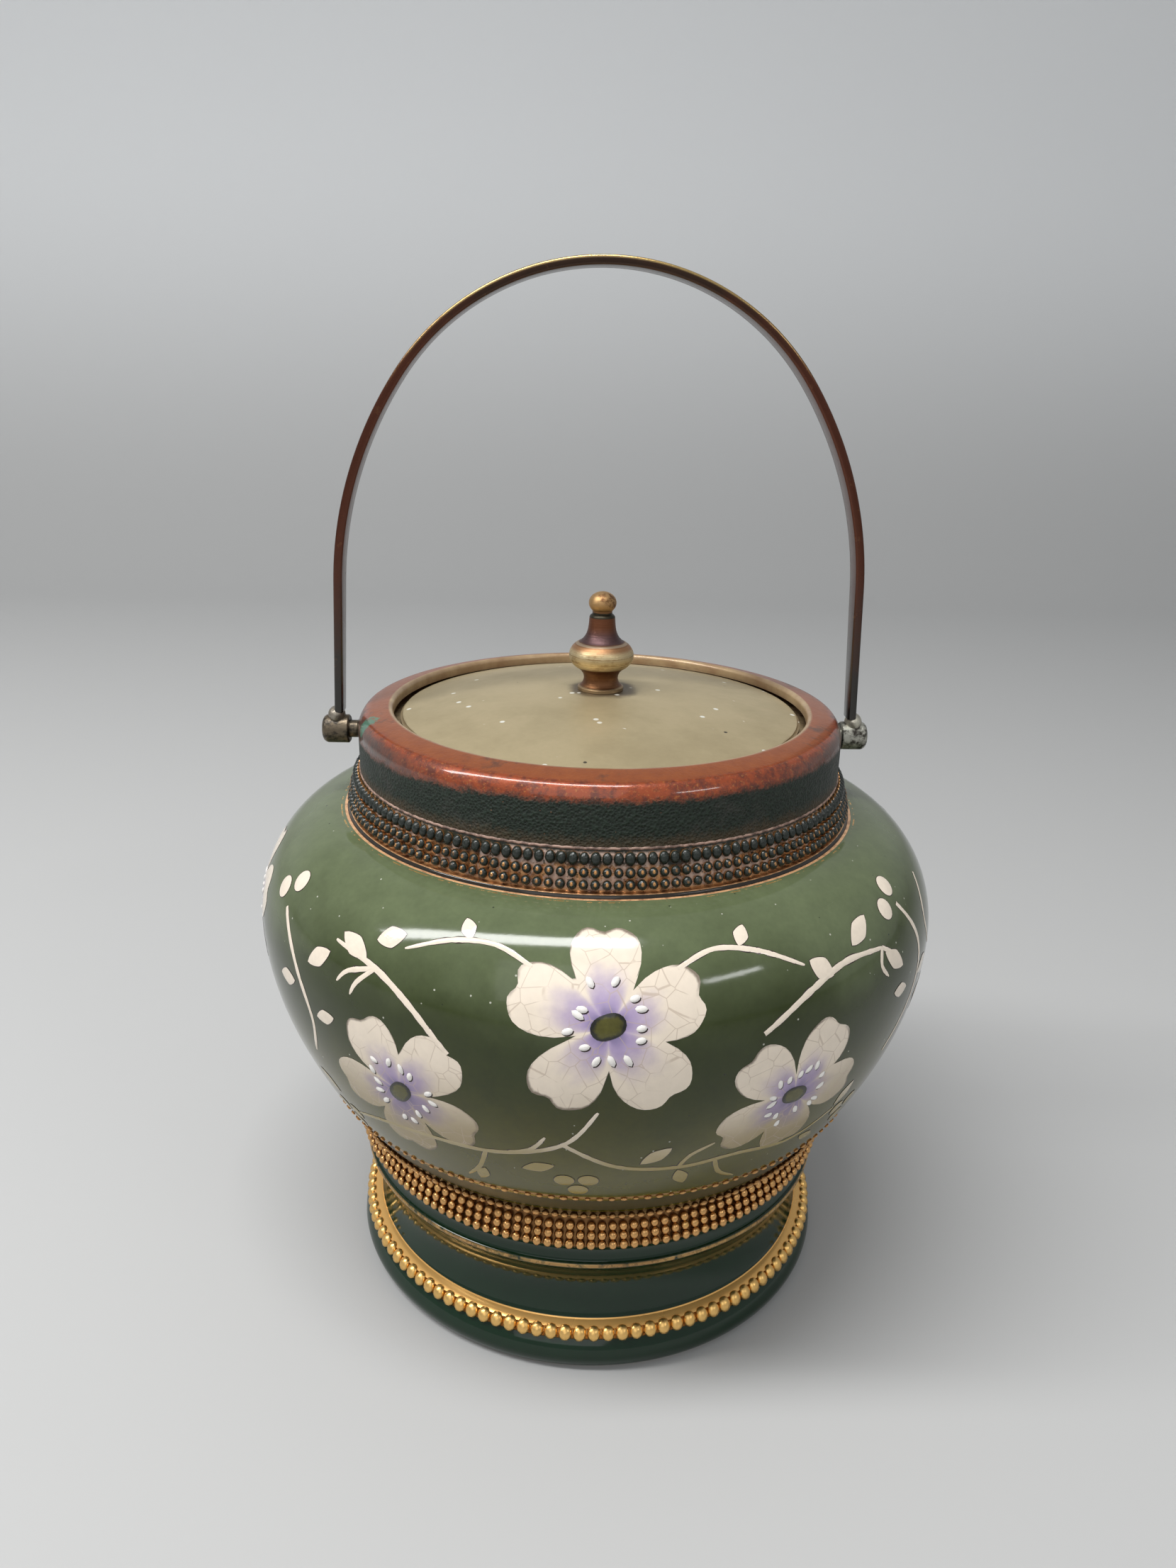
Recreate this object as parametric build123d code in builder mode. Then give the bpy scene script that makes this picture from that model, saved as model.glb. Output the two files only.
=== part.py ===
from build123d import *
from math import acos, cos, degrees, radians, sin, sqrt, tan
import os

# Biscuit jar: a glazed earthenware pot on a moulded foot, a rolled metal collar bedded on its neck,
# a domed drop-in lid with a turned knob, and a swing handle on two pivot pins.
# The origin is on the table under the pot's axis, +Z is up and the handle's hinge line runs along X.
# All sizes are in millimetres. A section is drawn in the XZ plane and turned about Z.

# ---- Collar and mouth ----
collar_radius = 59.0
collar_sheet = 0.9
collar_height = 14.6
collar_gap = 0.4  # between the pot's neck step and the collar's lower edge
collar_wall_height = 9.9  # the upright part, below the rolled rim
collar_rim_width = 8.5  # from the collar's wall in to the lip
roll_width = 2.1
roll_rise = 3.4
lip_roll = 1.1
lip_depth = 2.6  # the turned-down inner edge, below the crest
lip_lift = 1.8  # from the lid seat up to the lip's edge
plaster_thickness = 2.55
bed_gap = 0.05  # between the plaster and what it beds

# ---- Lid seat ----
seat_ledge = 2.4  # how far the seat reaches in under the lid's edge
seat_sheet = 0.8
seat_guide_depth = 3.0
seat_gap = 0.2

# ---- Pot, outside, from the table up ----
foot_radius = 62.9  # widest point of the foot rim
foot_rim_height = 8.4
foot_sole_inset = 2.0  # from the rim's widest point in to the sole
foot_rim_slope = 2.3  # height of the slopes above and below the rim's widest part
foot_bead_inset = 2.0  # the bead ring's line, in from the rim
foot_bead_relief = 1.3
foot_bead_height = 2.7
foot_band_width = 4.6  # gilt band, from the rim in to the scotia
foot_height = 11.8  # top of the gilt band
foot_ring_width = 8.9  # the ring the pot stands on
foot_hollow_wall = 6.4  # behind the scotia
foot_hollow_slope = 3.5  # height of the slope from the ring in to the hollow's side
foot_hollow_corner = 4.0
scotia_depth = 3.4  # hollow moulding, in from the groove above it
scotia_height = 17.6
waist_line_radius = 0.8  # gilt line over the scotia
waist_groove_depth = 1.2
waist_groove_height = 4.6
waist_band_radius = 61.5  # lower edge of the waist bead band
waist_band_taper = 2.1  # the band draws in by this much to its top
waist_band_height = 6.8
waist_step = 0.6  # from the top of the bead band out to the belly
belly_radius = 84.1
belly_rise = 56.5  # from the waist to the widest point
flank_radius = 74.9  # the belly's side, part of the way up
flank_rise = 22.1
flank_lean = 43.0  # degrees from the upright, where the belly leaves the waist
shoulder_rise = 25.3  # from the widest point to the neck
neck_line_step = 1.3  # a gilt line stands out from the neck bead band
neck_line_height = 0.8
neck_band_margin = 0.2  # the neck bead band's top, outside the collar's wall
neck_band_taper = 1.8
neck_band_height = 8.7

# ---- Pot, inside ----
wall = 5.0
neck_wall = 4.55
rim_chamfer = 1.2
mouth_corner = 5.0
floor_thickness = 6.0
floor_above_waist = 1.0
floor_corner_reach = 4.5  # the corner bends up this far outside the waist, less the wall
floor_corner_width = 11.5
floor_corner_rise = 5.9

# ---- Faces round the axis that each curve of a section is turned into ----
scotia_faces = 4
belly_faces = 6
shoulder_faces = 5
inside_belly_faces = 5
inside_shoulder_faces = 3
roll_faces = 2
knob_stem_faces = 3
knob_ring_faces = 4
knob_bell_faces = 3
knob_ball_faces = 4

# ---- Lid ----
lid_clearance = 1.6  # between the lid's edge and the collar's lip
lid_sheet = 0.8
lid_rim_height = 2.1
lid_rise = 5.5
skirt_clearance = 0.6
skirt_sheet = 0.7
skirt_depth = 5.5  # below the seat

# ---- Knob: a foot, a ring and a cap stacked on a stud ----
knob_foot_radius = 5.6
knob_foot_edge = 0.9
knob_waist_radius = 4.2
knob_waist_height = 3.0
knob_foot_top_radius = 5.8
knob_foot_height = 5.4
knob_ring_radius = 7.9
knob_ring_height = 6.4
knob_cap_radius = 5.5
knob_bell_radius = 3.1
knob_bell_height = 6.0
knob_bell_chamfer = 0.8  # height of the slope from the bell in to the groove
knob_groove_radius = 2.4
knob_groove_height = 0.8
knob_ball_radius = 3.35
knob_ball_half_height = 2.7
stud_radius = 2.0
stud_clearance = 0.05
stud_reach = 4.0  # up into the cap
stud_end = 1.0  # below the nut
washer_radius = 5.0
washer_thickness = 0.8
nut_width = 7.0
nut_thickness = 3.0
nut_chamfer = 0.4
clamp_gap = 0.02  # between the dished lid and the flat washer's edge

# ---- Handle, its bosses and pivot pins ----
pivot_drop = 8.0  # the hinge line, below the collar's crest
handle_rise = 108.6  # from the hinge line to the crown's outer face
handle_thickness = 2.1
handle_end_width = 5.0
handle_crown_width = 10.0
crown_radius = 57.0
crown_angle = 35.0  # the crown arc ends this far above the level, on each side
leg_splay = 2.6  # degrees
leg_set_in = 1.4  # from the boss's inner end to the leg
side_shift = -0.8  # the handle has side play on its pins and stands to the left
boss_radius = 3.5
boss_chamfer = 1.0
boss_gap = 2.05  # collar to the boss's inner end, with the handle centred
boss_end_wall = 1.85
boss_neck_height = 1.3  # solder pad over the barrel
boss_neck_margin = 0.6
pin_radius = 2.15
pin_clearance = 0.05
pin_reach = 5.4
pin_end_clearance = 0.25
pin_foot_radius = 2.9
pin_foot_length = 0.9
pin_tail_radius = 1.2
pin_tail_clearance = 0.03
pin_head_radius = 1.9
pin_head_thickness = 0.7
pocket_clearance = 0.3

# ---- Radii that follow ----
collar_bore = collar_radius - collar_sheet
lip_radius = collar_radius - collar_rim_width
lid_radius = lip_radius - lid_clearance
seat_radius = lid_radius - seat_ledge
skirt_radius = seat_radius - skirt_clearance
neck_radius = collar_bore - plaster_thickness
mouth_radius = neck_radius - neck_wall
neck_band_radius = collar_radius + neck_band_margin
neck_low_radius = neck_band_radius + neck_band_taper
shoulder_radius = neck_low_radius + neck_line_step
waist_top_radius = waist_band_radius - waist_band_taper
waist_radius = waist_top_radius + waist_step
groove_radius = waist_band_radius - waist_groove_depth
scotia_radius = groove_radius - scotia_depth
foot_bead_line = foot_radius - foot_bead_inset
foot_hollow_radius = foot_radius - foot_ring_width

# ---- Levels that follow ----
scotia_top = foot_height + scotia_height
waist_band_low = scotia_top + 2 * waist_line_radius + waist_groove_height
waist_band_top = waist_band_low + waist_band_height
waist_level = waist_band_top + waist_step
floor_level = waist_level + floor_above_waist
hollow_top = floor_level - floor_thickness
belly_level = waist_level + belly_rise
neck_line_level = belly_level + shoulder_rise
neck_band_low = neck_line_level + neck_line_height
neck_step = neck_band_low + neck_band_height
collar_low = neck_step + collar_gap
roll_low = collar_low + collar_wall_height
collar_crest = collar_low + collar_height
lip_low = collar_crest - lip_depth
seat_level = lip_low - lip_lift
neck_top = seat_level - seat_sheet
lid_edge = seat_level + lid_rim_height
knob_level = lid_edge + lid_rise
pivot_level = collar_crest - pivot_drop

# ---- Lid dome ----
dome_radius = (lid_radius**2 + lid_rise**2) / (2 * lid_rise)
stud_hole = stud_radius + stud_clearance


def upright_plane(across, level):
    """Plane whose x runs along X and whose y runs up, from a point over the X axis."""
    return Plane((across, 0, level), x_dir=(1, 0, 0), z_dir=(0, -1, 0))


def dome(radius, drop=0.0):
    """Height of the lid's upper face, lowered by drop, at a distance from the axis."""
    centre = knob_level - dome_radius
    return centre + sqrt((dome_radius - drop) ** 2 - radius**2)


def along(curve, faces):
    """Points along a curve, end to end, between which a section's straight faces run."""
    return [curve @ (step / faces) for step in range(faces + 1)]


# ---- Pot ----
with BuildPart() as jar_body:
    with BuildSketch(Plane.XZ) as pot_section:
        with BuildLine():
            band_top = (foot_radius - foot_band_width, foot_height)
            scotia_middle = (scotia_radius, foot_height + scotia_height / 2)
            scotia = ThreePointArc(
                band_top, scotia_middle, (groove_radius, scotia_top), mode=Mode.PRIVATE
            )
            belly = Spline(
                (waist_radius, waist_level),
                (flank_radius, waist_level + flank_rise),
                (belly_radius, belly_level),
                tangents=((sin(radians(flank_lean)), cos(radians(flank_lean))), (0, 1)),
                mode=Mode.PRIVATE,
            )
            shoulder = EllipticalCenterArc(
                (shoulder_radius, belly_level),
                belly_radius - shoulder_radius,
                shoulder_rise,
                arc_size=90,
                mode=Mode.PRIVATE,
            )
            Polyline(
                (0, 0),
                (foot_radius - foot_sole_inset, 0),
                (foot_radius, foot_rim_slope),
                (foot_radius, foot_rim_height - foot_rim_slope),
                (foot_bead_line, foot_rim_height),
                (foot_bead_line + foot_bead_relief, foot_rim_height + foot_bead_height / 2),
                (foot_bead_line, foot_rim_height + foot_bead_height),
                *along(scotia, scotia_faces),
                (groove_radius + waist_line_radius, scotia_top + waist_line_radius),
                (groove_radius, scotia_top + 2 * waist_line_radius),
                (groove_radius, waist_band_low),
                (waist_band_radius, waist_band_low),
                (waist_top_radius, waist_band_top),
                *along(belly, belly_faces),
                *along(shoulder, shoulder_faces)[1:],
                (shoulder_radius, neck_band_low),
                (neck_low_radius, neck_band_low),
                (neck_band_radius, neck_step),
                (neck_radius, neck_step),
                (neck_radius, neck_top - rim_chamfer),
                (neck_radius - rim_chamfer, neck_top),
                (0, neck_top),
                close=True,
            )
        make_face()
        # the inside, one wall in from the outside
        with BuildLine():
            corner_end = (waist_radius + floor_corner_reach - wall, floor_level + floor_corner_rise)
            flank_in = wall * cos(radians(flank_lean / 2))
            flank_up = wall * sin(radians(flank_lean / 2))
            inner_belly = Spline(
                corner_end,
                (flank_radius - flank_in, waist_level + flank_rise + flank_up),
                (belly_radius - wall, belly_level),
                tangents=(belly % 0, (0, 1)),
                mode=Mode.PRIVATE,
            )
            inner_shoulder = EllipticalCenterArc(
                (shoulder_radius, belly_level),
                belly_radius - wall - shoulder_radius,
                shoulder_rise - wall,
                arc_size=90,
                mode=Mode.PRIVATE,
            )
            Polyline(
                (0, floor_level),
                (corner_end[0] - floor_corner_width, floor_level),
                *along(inner_belly, inside_belly_faces),
                *along(inner_shoulder, inside_shoulder_faces)[1:],
                (mouth_radius + mouth_corner, neck_line_level - wall),
                (mouth_radius, neck_line_level - wall + mouth_corner),
                (mouth_radius, neck_top),
                (0, neck_top),
                close=True,
            )
        make_face(mode=Mode.SUBTRACT)
        # the hollow under the foot
        with BuildLine():
            hollow_side = scotia_radius - foot_hollow_wall
            Polyline(
                (0, 0),
                (foot_hollow_radius, 0),
                (hollow_side, foot_hollow_slope),
                (hollow_side, hollow_top - foot_hollow_corner),
                (hollow_side - foot_hollow_corner, hollow_top),
                (0, hollow_top),
                close=True,
            )
        make_face(mode=Mode.SUBTRACT)
    revolve(axis=Axis.Z)
jar_body.part.label = "jar_body"

# ---- Collar: one strip of sheet, rolled over at the top and turned down inside ----
with BuildPart() as collar:
    with BuildSketch(Plane.XZ):
        with BuildLine():
            roll = TangentArc(
                (collar_radius, roll_low),
                (collar_radius - roll_width, roll_low + roll_rise),
                tangent=(0, 1),
                mode=Mode.PRIVATE,
            )
            Polyline(
                (collar_radius, collar_low),
                *along(roll, roll_faces),
                (lip_radius + lip_roll, collar_crest),
                (lip_radius, collar_crest - lip_roll),
                (lip_radius, lip_low),
            )
            offset(amount=collar_sheet, side=Side.LEFT)
        make_face()
    revolve(axis=Axis.Z)
    for side in (-1, 1):
        with BuildSketch(Plane.YZ.offset(side * collar_radius)):
            with Locations((0, pivot_level)):
                Circle(pin_tail_radius + pin_tail_clearance)
        extrude(amount=-side * 3 * collar_sheet, mode=Mode.SUBTRACT)
collar.part.label = "collar"

# ---- Plaster bed between neck and collar, with a pocket for each pin's riveted head ----
with BuildPart() as plaster_bed:
    with BuildSketch(Plane.XY.offset(neck_step)):
        Circle(collar_bore - bed_gap)
        Circle(neck_radius + bed_gap, mode=Mode.SUBTRACT)
    extrude(amount=neck_top - rim_chamfer - neck_step)
    for side in (-1, 1):
        with BuildSketch(Plane.YZ.offset(side * collar_bore)):
            with Locations((0, pivot_level)):
                Circle(pin_head_radius + pocket_clearance)
        extrude(amount=-side * (pin_head_thickness + pocket_clearance), mode=Mode.SUBTRACT)
plaster_bed.part.label = "plaster_bed"

# ---- Lid seat: a ledge ring on the pot's rim, its inner edge turned down to guide the lid ----
with BuildPart() as lid_seat:
    with BuildSketch(Plane.XZ):
        with BuildLine():
            Polyline(
                (seat_radius, neck_top - seat_guide_depth),
                (seat_radius, seat_level),
                (collar_bore - seat_gap, seat_level),
                (collar_bore - seat_gap, neck_top),
                (seat_radius + seat_sheet, neck_top),
                (seat_radius + seat_sheet, neck_top - seat_guide_depth),
                close=True,
            )
        make_face()
    revolve(axis=Axis.Z)
lid_seat.part.label = "lid_seat"

# ---- Lid plate: a shallow dome whose edge is turned down on to the seat ----
# The dome's straight faces meet where the washer and the skirt touch it, and twice between.
rim_bore = lid_radius - lid_sheet
skirt_bore = skirt_radius - skirt_sheet
dome_bends = [stud_hole, washer_radius, lid_radius / 3, 2 * lid_radius / 3, skirt_bore, skirt_radius]
with BuildPart() as lid_plate:
    with BuildSketch(Plane.XZ):
        with BuildLine():
            Polyline(
                *[(radius, dome(radius)) for radius in dome_bends],
                (lid_radius, lid_edge),
                (lid_radius, seat_level),
                (rim_bore, seat_level),
                (rim_bore, dome(rim_bore, lid_sheet)),
                *[(radius, dome(radius, lid_sheet)) for radius in reversed(dome_bends)],
                close=True,
            )
        make_face()
    revolve(axis=Axis.Z)
lid_plate.part.label = "lid_plate"

# ---- Lid skirt: the ring under the plate that keeps the lid in the mouth ----
with BuildPart() as lid_skirt:
    with BuildSketch(Plane.XZ):
        with BuildLine():
            Polyline(
                (skirt_bore, seat_level - skirt_depth),
                (skirt_radius, seat_level - skirt_depth),
                (skirt_radius, dome(skirt_radius, lid_sheet)),
                (skirt_bore, dome(skirt_bore, lid_sheet)),
                close=True,
            )
        make_face()
    revolve(axis=Axis.Z)
lid_skirt.part.label = "lid_skirt"

# ---- Knob foot: a thin disc under a waisted stem ----
with BuildPart() as knob_foot:
    with BuildSketch(upright_plane(0, knob_level)):
        with BuildLine():
            stem = Spline(
                (knob_foot_radius, knob_foot_edge),
                (knob_waist_radius, knob_waist_height),
                (knob_foot_top_radius, knob_foot_height),
                tangents=((-1, 0.4), (1, 0.6)),
                mode=Mode.PRIVATE,
            )
            Polyline(
                (stud_hole, 0),
                (knob_foot_radius, 0),
                *along(stem, knob_stem_faces),
                (stud_hole, knob_foot_height),
                close=True,
            )
        make_face()
    revolve(axis=Axis.Z)
knob_foot.part.label = "knob_foot"

# ---- Knob ring: a full bead between foot and cap ----
ring_base = knob_level + knob_foot_height
with BuildPart() as knob_ring:
    with BuildSketch(upright_plane(0, ring_base)):
        with BuildLine():
            bead = Spline(
                (knob_foot_top_radius, 0),
                (knob_ring_radius, knob_ring_height / 2),
                (knob_cap_radius, knob_ring_height),
                tangents=((1, 0.5), (-1, 0.4)),
                mode=Mode.PRIVATE,
            )
            Polyline(
                (stud_hole, 0),
                *along(bead, knob_ring_faces),
                (stud_hole, knob_ring_height),
                close=True,
            )
        make_face()
    revolve(axis=Axis.Z)
knob_ring.part.label = "knob_ring"

# ---- Knob cap: a bell and a flattened ball in one turning, bored from below for the stud ----
cap_base = ring_base + knob_ring_height
with BuildPart() as knob_cap:
    with BuildSketch(upright_plane(0, cap_base)):
        with BuildLine():
            groove_low = knob_bell_height + knob_bell_chamfer
            groove_high = groove_low + knob_groove_height
            ball_under = acos(knob_groove_radius / knob_ball_radius)
            ball_level = groove_high + knob_ball_half_height * sin(ball_under)
            bell = Spline(
                (knob_cap_radius, 0),
                (knob_bell_radius, knob_bell_height),
                tangents=((-1, 0.6), (-0.1, 1)),
                mode=Mode.PRIVATE,
            )
            ball = EllipticalCenterArc(
                (0, ball_level),
                knob_ball_radius,
                knob_ball_half_height,
                start_angle=90,
                arc_size=-90 - degrees(ball_under),
                mode=Mode.PRIVATE,
            )
            Polyline(
                (stud_hole, 0),
                *along(bell, knob_bell_faces),
                (knob_groove_radius, groove_low),
                *along(ball, knob_ball_faces)[::-1],
                (0, stud_reach + stud_clearance),
                (stud_hole, stud_reach + stud_clearance),
                close=True,
            )
        make_face()
    revolve(axis=Axis.Z)
knob_cap.part.label = "knob_cap"

# ---- Knob stud, washer and nut ----
washer_top = dome(washer_radius, lid_sheet) - clamp_gap
nut_top = washer_top - washer_thickness
stud_low = nut_top - nut_thickness - stud_end
with BuildPart() as knob_stud:
    with BuildSketch(Plane.XY.offset(stud_low)):
        Circle(stud_radius)
    extrude(amount=cap_base + stud_reach - stud_low)
knob_stud.part.label = "knob_stud"

with BuildPart() as knob_washer:
    with BuildSketch(Plane.XY.offset(washer_top)):
        Circle(washer_radius)
        Circle(stud_hole, mode=Mode.SUBTRACT)
    extrude(amount=-washer_thickness)
knob_washer.part.label = "knob_washer"

with BuildPart() as knob_nut:
    with BuildSketch(Plane.XY.offset(nut_top)):
        RegularPolygon(nut_width / 2, 6, major_radius=False)
        Circle(stud_hole, mode=Mode.SUBTRACT)
    extrude(amount=-nut_thickness)
    chamfer(knob_nut.faces().sort_by(Axis.Z)[0].outer_wire().edges(), nut_chamfer)
knob_nut.part.label = "knob_nut"

# ---- Handle strip: a crown arc and two side arcs on straight legs, wider at the crown ----
# The side arc is the one that meets both the crown arc and the leg without a corner.
boss_inner = collar_radius + boss_gap
half_span = boss_inner + leg_set_in + handle_thickness  # outer face of the leg, at the hinge line
leg_low = boss_radius + boss_neck_height
splay = radians(leg_splay)
crown_end_angle = radians(crown_angle)
crown_centre = handle_rise - crown_radius
side_turn = crown_end_angle - splay
side_reach = half_span * cos(splay) - crown_centre * sin(splay) - crown_radius * cos(side_turn)
side_radius = side_reach / (1 - cos(side_turn))
crown_end = (crown_radius * cos(crown_end_angle), crown_centre + crown_radius * sin(crown_end_angle))
side_step = side_radius * (cos(splay) - cos(crown_end_angle))
side_drop = side_radius * (sin(crown_end_angle) - sin(splay))
leg_top = (crown_end[0] + side_step, crown_end[1] - side_drop)
leg_middle = half_span - leg_low * tan(splay) - handle_thickness / 2

with BuildPart() as handle:
    with BuildSketch(upright_plane(side_shift, pivot_level)):
        with BuildLine():
            right_leg = Line((half_span, 0), leg_top)
            right_side = TangentArc(leg_top, crown_end, tangent=right_leg % 1)
            crown = ThreePointArc(crown_end, (0, handle_rise), (-crown_end[0], crown_end[1]))
            left_side = TangentArc(crown @ 1, (-leg_top[0], leg_top[1]), tangent=crown % 1)
            Line(left_side @ 1, (-half_span, 0))
            offset(amount=handle_thickness, side=Side.LEFT)
        make_face()
    extrude(amount=handle_crown_width, both=True)
    with BuildSketch(Plane((side_shift, 0, pivot_level), x_dir=(0, 1, 0), z_dir=(1, 0, 0))):
        with BuildLine():
            Polyline(
                (handle_end_width / 2, leg_low),
                (handle_crown_width / 2, handle_rise),
                (-handle_crown_width / 2, handle_rise),
                (-handle_end_width / 2, leg_low),
                close=True,
            )
        make_face()
    extrude(amount=2 * half_span, both=True, mode=Mode.INTERSECT)
handle.part.label = "handle"

# ---- Handle bosses: blind barrels on the hinge line, each with a pad that carries a leg ----
bore_depth = pin_reach - pin_foot_length + pin_end_clearance
boss_length = bore_depth + boss_end_wall
bosses = {}
for name, side in (("left", -1), ("right", 1)):
    inner_end = Plane((side_shift + side * boss_inner, 0, pivot_level), x_dir=(0, 1, 0), z_dir=(side, 0, 0))
    with BuildPart() as boss:
        with BuildSketch(inner_end):
            Circle(boss_radius)
        extrude(amount=boss_length)
        chamfer(boss.edges().sort_by(Axis.X)[-1 if side > 0 else 0], boss_chamfer)
        with BuildSketch(Plane.XY.offset(pivot_level)):
            with Locations((side_shift + side * leg_middle, 0)):
                Rectangle(handle_thickness + 2 * boss_neck_margin, handle_end_width + 2 * boss_neck_margin)
        extrude(amount=leg_low)
        with BuildSketch(inner_end):
            Circle(pin_radius + pin_clearance)
        extrude(amount=bore_depth, mode=Mode.SUBTRACT)
    boss.part.label = "handle_boss_" + name
    bosses[name] = boss

# ---- Pivot pins: flanged against the collar, with a riveted head inside it ----
head_seat = sqrt(collar_bore**2 - pin_head_radius**2)
pins = {}
for name, side in (("left", -1), ("right", 1)):
    with BuildPart() as pin:
        with BuildSketch(upright_plane(0, pivot_level)):
            with BuildLine():
                Polyline(
                    (side * (head_seat - pin_head_thickness), 0),
                    (side * (head_seat - pin_head_thickness), pin_head_radius),
                    (side * head_seat, pin_head_radius),
                    (side * head_seat, pin_tail_radius),
                    (side * collar_radius, pin_tail_radius),
                    (side * collar_radius, pin_foot_radius),
                    (side * (collar_radius + pin_foot_length), pin_radius),
                    (side * (collar_radius + pin_reach), pin_radius),
                    (side * (collar_radius + pin_reach), 0),
                    close=True,
                )
            make_face()
        revolve(axis=Axis((0, 0, pivot_level), (1, 0, 0)))
    pin.part.label = "pivot_pin_" + name
    pins[name] = pin

# ---- Files ----
os.makedirs("parts", exist_ok=True)
export_step(jar_body.part, "parts/jar_body.step")
export_step(plaster_bed.part, "parts/plaster_bed.step")
export_step(collar.part, "parts/collar.step")
export_step(lid_seat.part, "parts/lid_seat.step")
export_step(lid_plate.part, "parts/lid_plate.step")
export_step(lid_skirt.part, "parts/lid_skirt.step")
export_step(knob_foot.part, "parts/knob_foot.step")
export_step(knob_ring.part, "parts/knob_ring.step")
export_step(knob_cap.part, "parts/knob_cap.step")
export_step(knob_stud.part, "parts/knob_stud.step")
export_step(knob_washer.part, "parts/knob_washer.step")
export_step(knob_nut.part, "parts/knob_nut.step")
export_step(handle.part, "parts/handle.step")
for name, boss in bosses.items():
    export_step(boss.part, f"parts/handle_boss_{name}.step")
for name, pin in pins.items():
    export_step(pin.part, f"parts/pivot_pin_{name}.step")
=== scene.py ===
"""Biscuit jar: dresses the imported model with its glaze, gilding, painted flowers and metalwork.

Sections are worked in millimetres and the meshes are in metres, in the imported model's own frame: the pot's
axis is Z, the handle's hinge line runs along X, and -Y is the flowered front.
"""

import math
import random
from bisect import bisect_right
from types import SimpleNamespace

import bmesh
import bpy
from bpy.props import FloatProperty, FloatVectorProperty, IntProperty, PointerProperty
from bpy.types import Operator, Panel, PropertyGroup
from mathutils import Matrix, Vector


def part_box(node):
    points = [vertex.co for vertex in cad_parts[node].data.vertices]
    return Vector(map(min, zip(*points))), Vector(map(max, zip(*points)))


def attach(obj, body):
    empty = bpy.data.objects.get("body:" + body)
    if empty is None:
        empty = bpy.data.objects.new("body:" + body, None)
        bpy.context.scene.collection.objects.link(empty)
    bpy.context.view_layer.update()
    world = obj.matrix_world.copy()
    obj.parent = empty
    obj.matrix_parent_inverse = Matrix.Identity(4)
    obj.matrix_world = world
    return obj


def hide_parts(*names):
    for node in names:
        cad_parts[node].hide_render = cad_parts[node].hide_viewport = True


bl_info = {
    "name": "Biscuit Jar",
    "version": (1, 0, 0),
    "blender": (4, 5, 0),
    "location": "3D View > Sidebar > Biscuit Jar",
    "description": "Dresses the packed biscuit jar with glaze, gilding, flowers and metalwork",
    "category": "Object",
}

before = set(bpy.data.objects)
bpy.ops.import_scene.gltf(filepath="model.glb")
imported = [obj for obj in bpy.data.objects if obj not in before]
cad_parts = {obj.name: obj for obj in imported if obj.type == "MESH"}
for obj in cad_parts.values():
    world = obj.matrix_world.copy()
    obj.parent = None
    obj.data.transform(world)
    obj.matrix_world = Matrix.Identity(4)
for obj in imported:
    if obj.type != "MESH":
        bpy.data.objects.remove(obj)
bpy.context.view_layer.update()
MM = 0.001


def corners(node):
    """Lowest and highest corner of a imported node, in millimetres."""
    return [Vector(corner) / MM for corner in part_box(node)]


POT_TOP = corners("jar_body")[1].z
BELLY_RADIUS = corners("jar_body")[1].x
COLLAR_LOW, COLLAR_HIGH = corners("collar")
LID_LOW, LID_HIGH = corners("lid_plate")
HANDLE_LOW, HANDLE_HIGH = corners("handle")
PIVOT_LEVEL = sum(corner.z for corner in corners("pivot_pin_right")) / 2
HANDLE_SHIFT = (HANDLE_LOW.x + HANDLE_HIGH.x) / 2


# ---- Properties ----


def length(name, description, millimetres):
    """A length that a user can change, given here in millimetres."""
    return FloatProperty(
        name=name, description=description, default=millimetres * MM, min=0.0, unit="LENGTH", precision=5
    )


def number(name, description, default):
    """A whole number that a user can change."""
    return IntProperty(name=name, description=description, default=default, min=1)


def colour(name, description, *shade):
    """A surface colour that a user can change, in linear light."""
    return FloatVectorProperty(
        name=name, description=description, default=shade, min=0.0, max=1.0, subtype="COLOR"
    )


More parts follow.
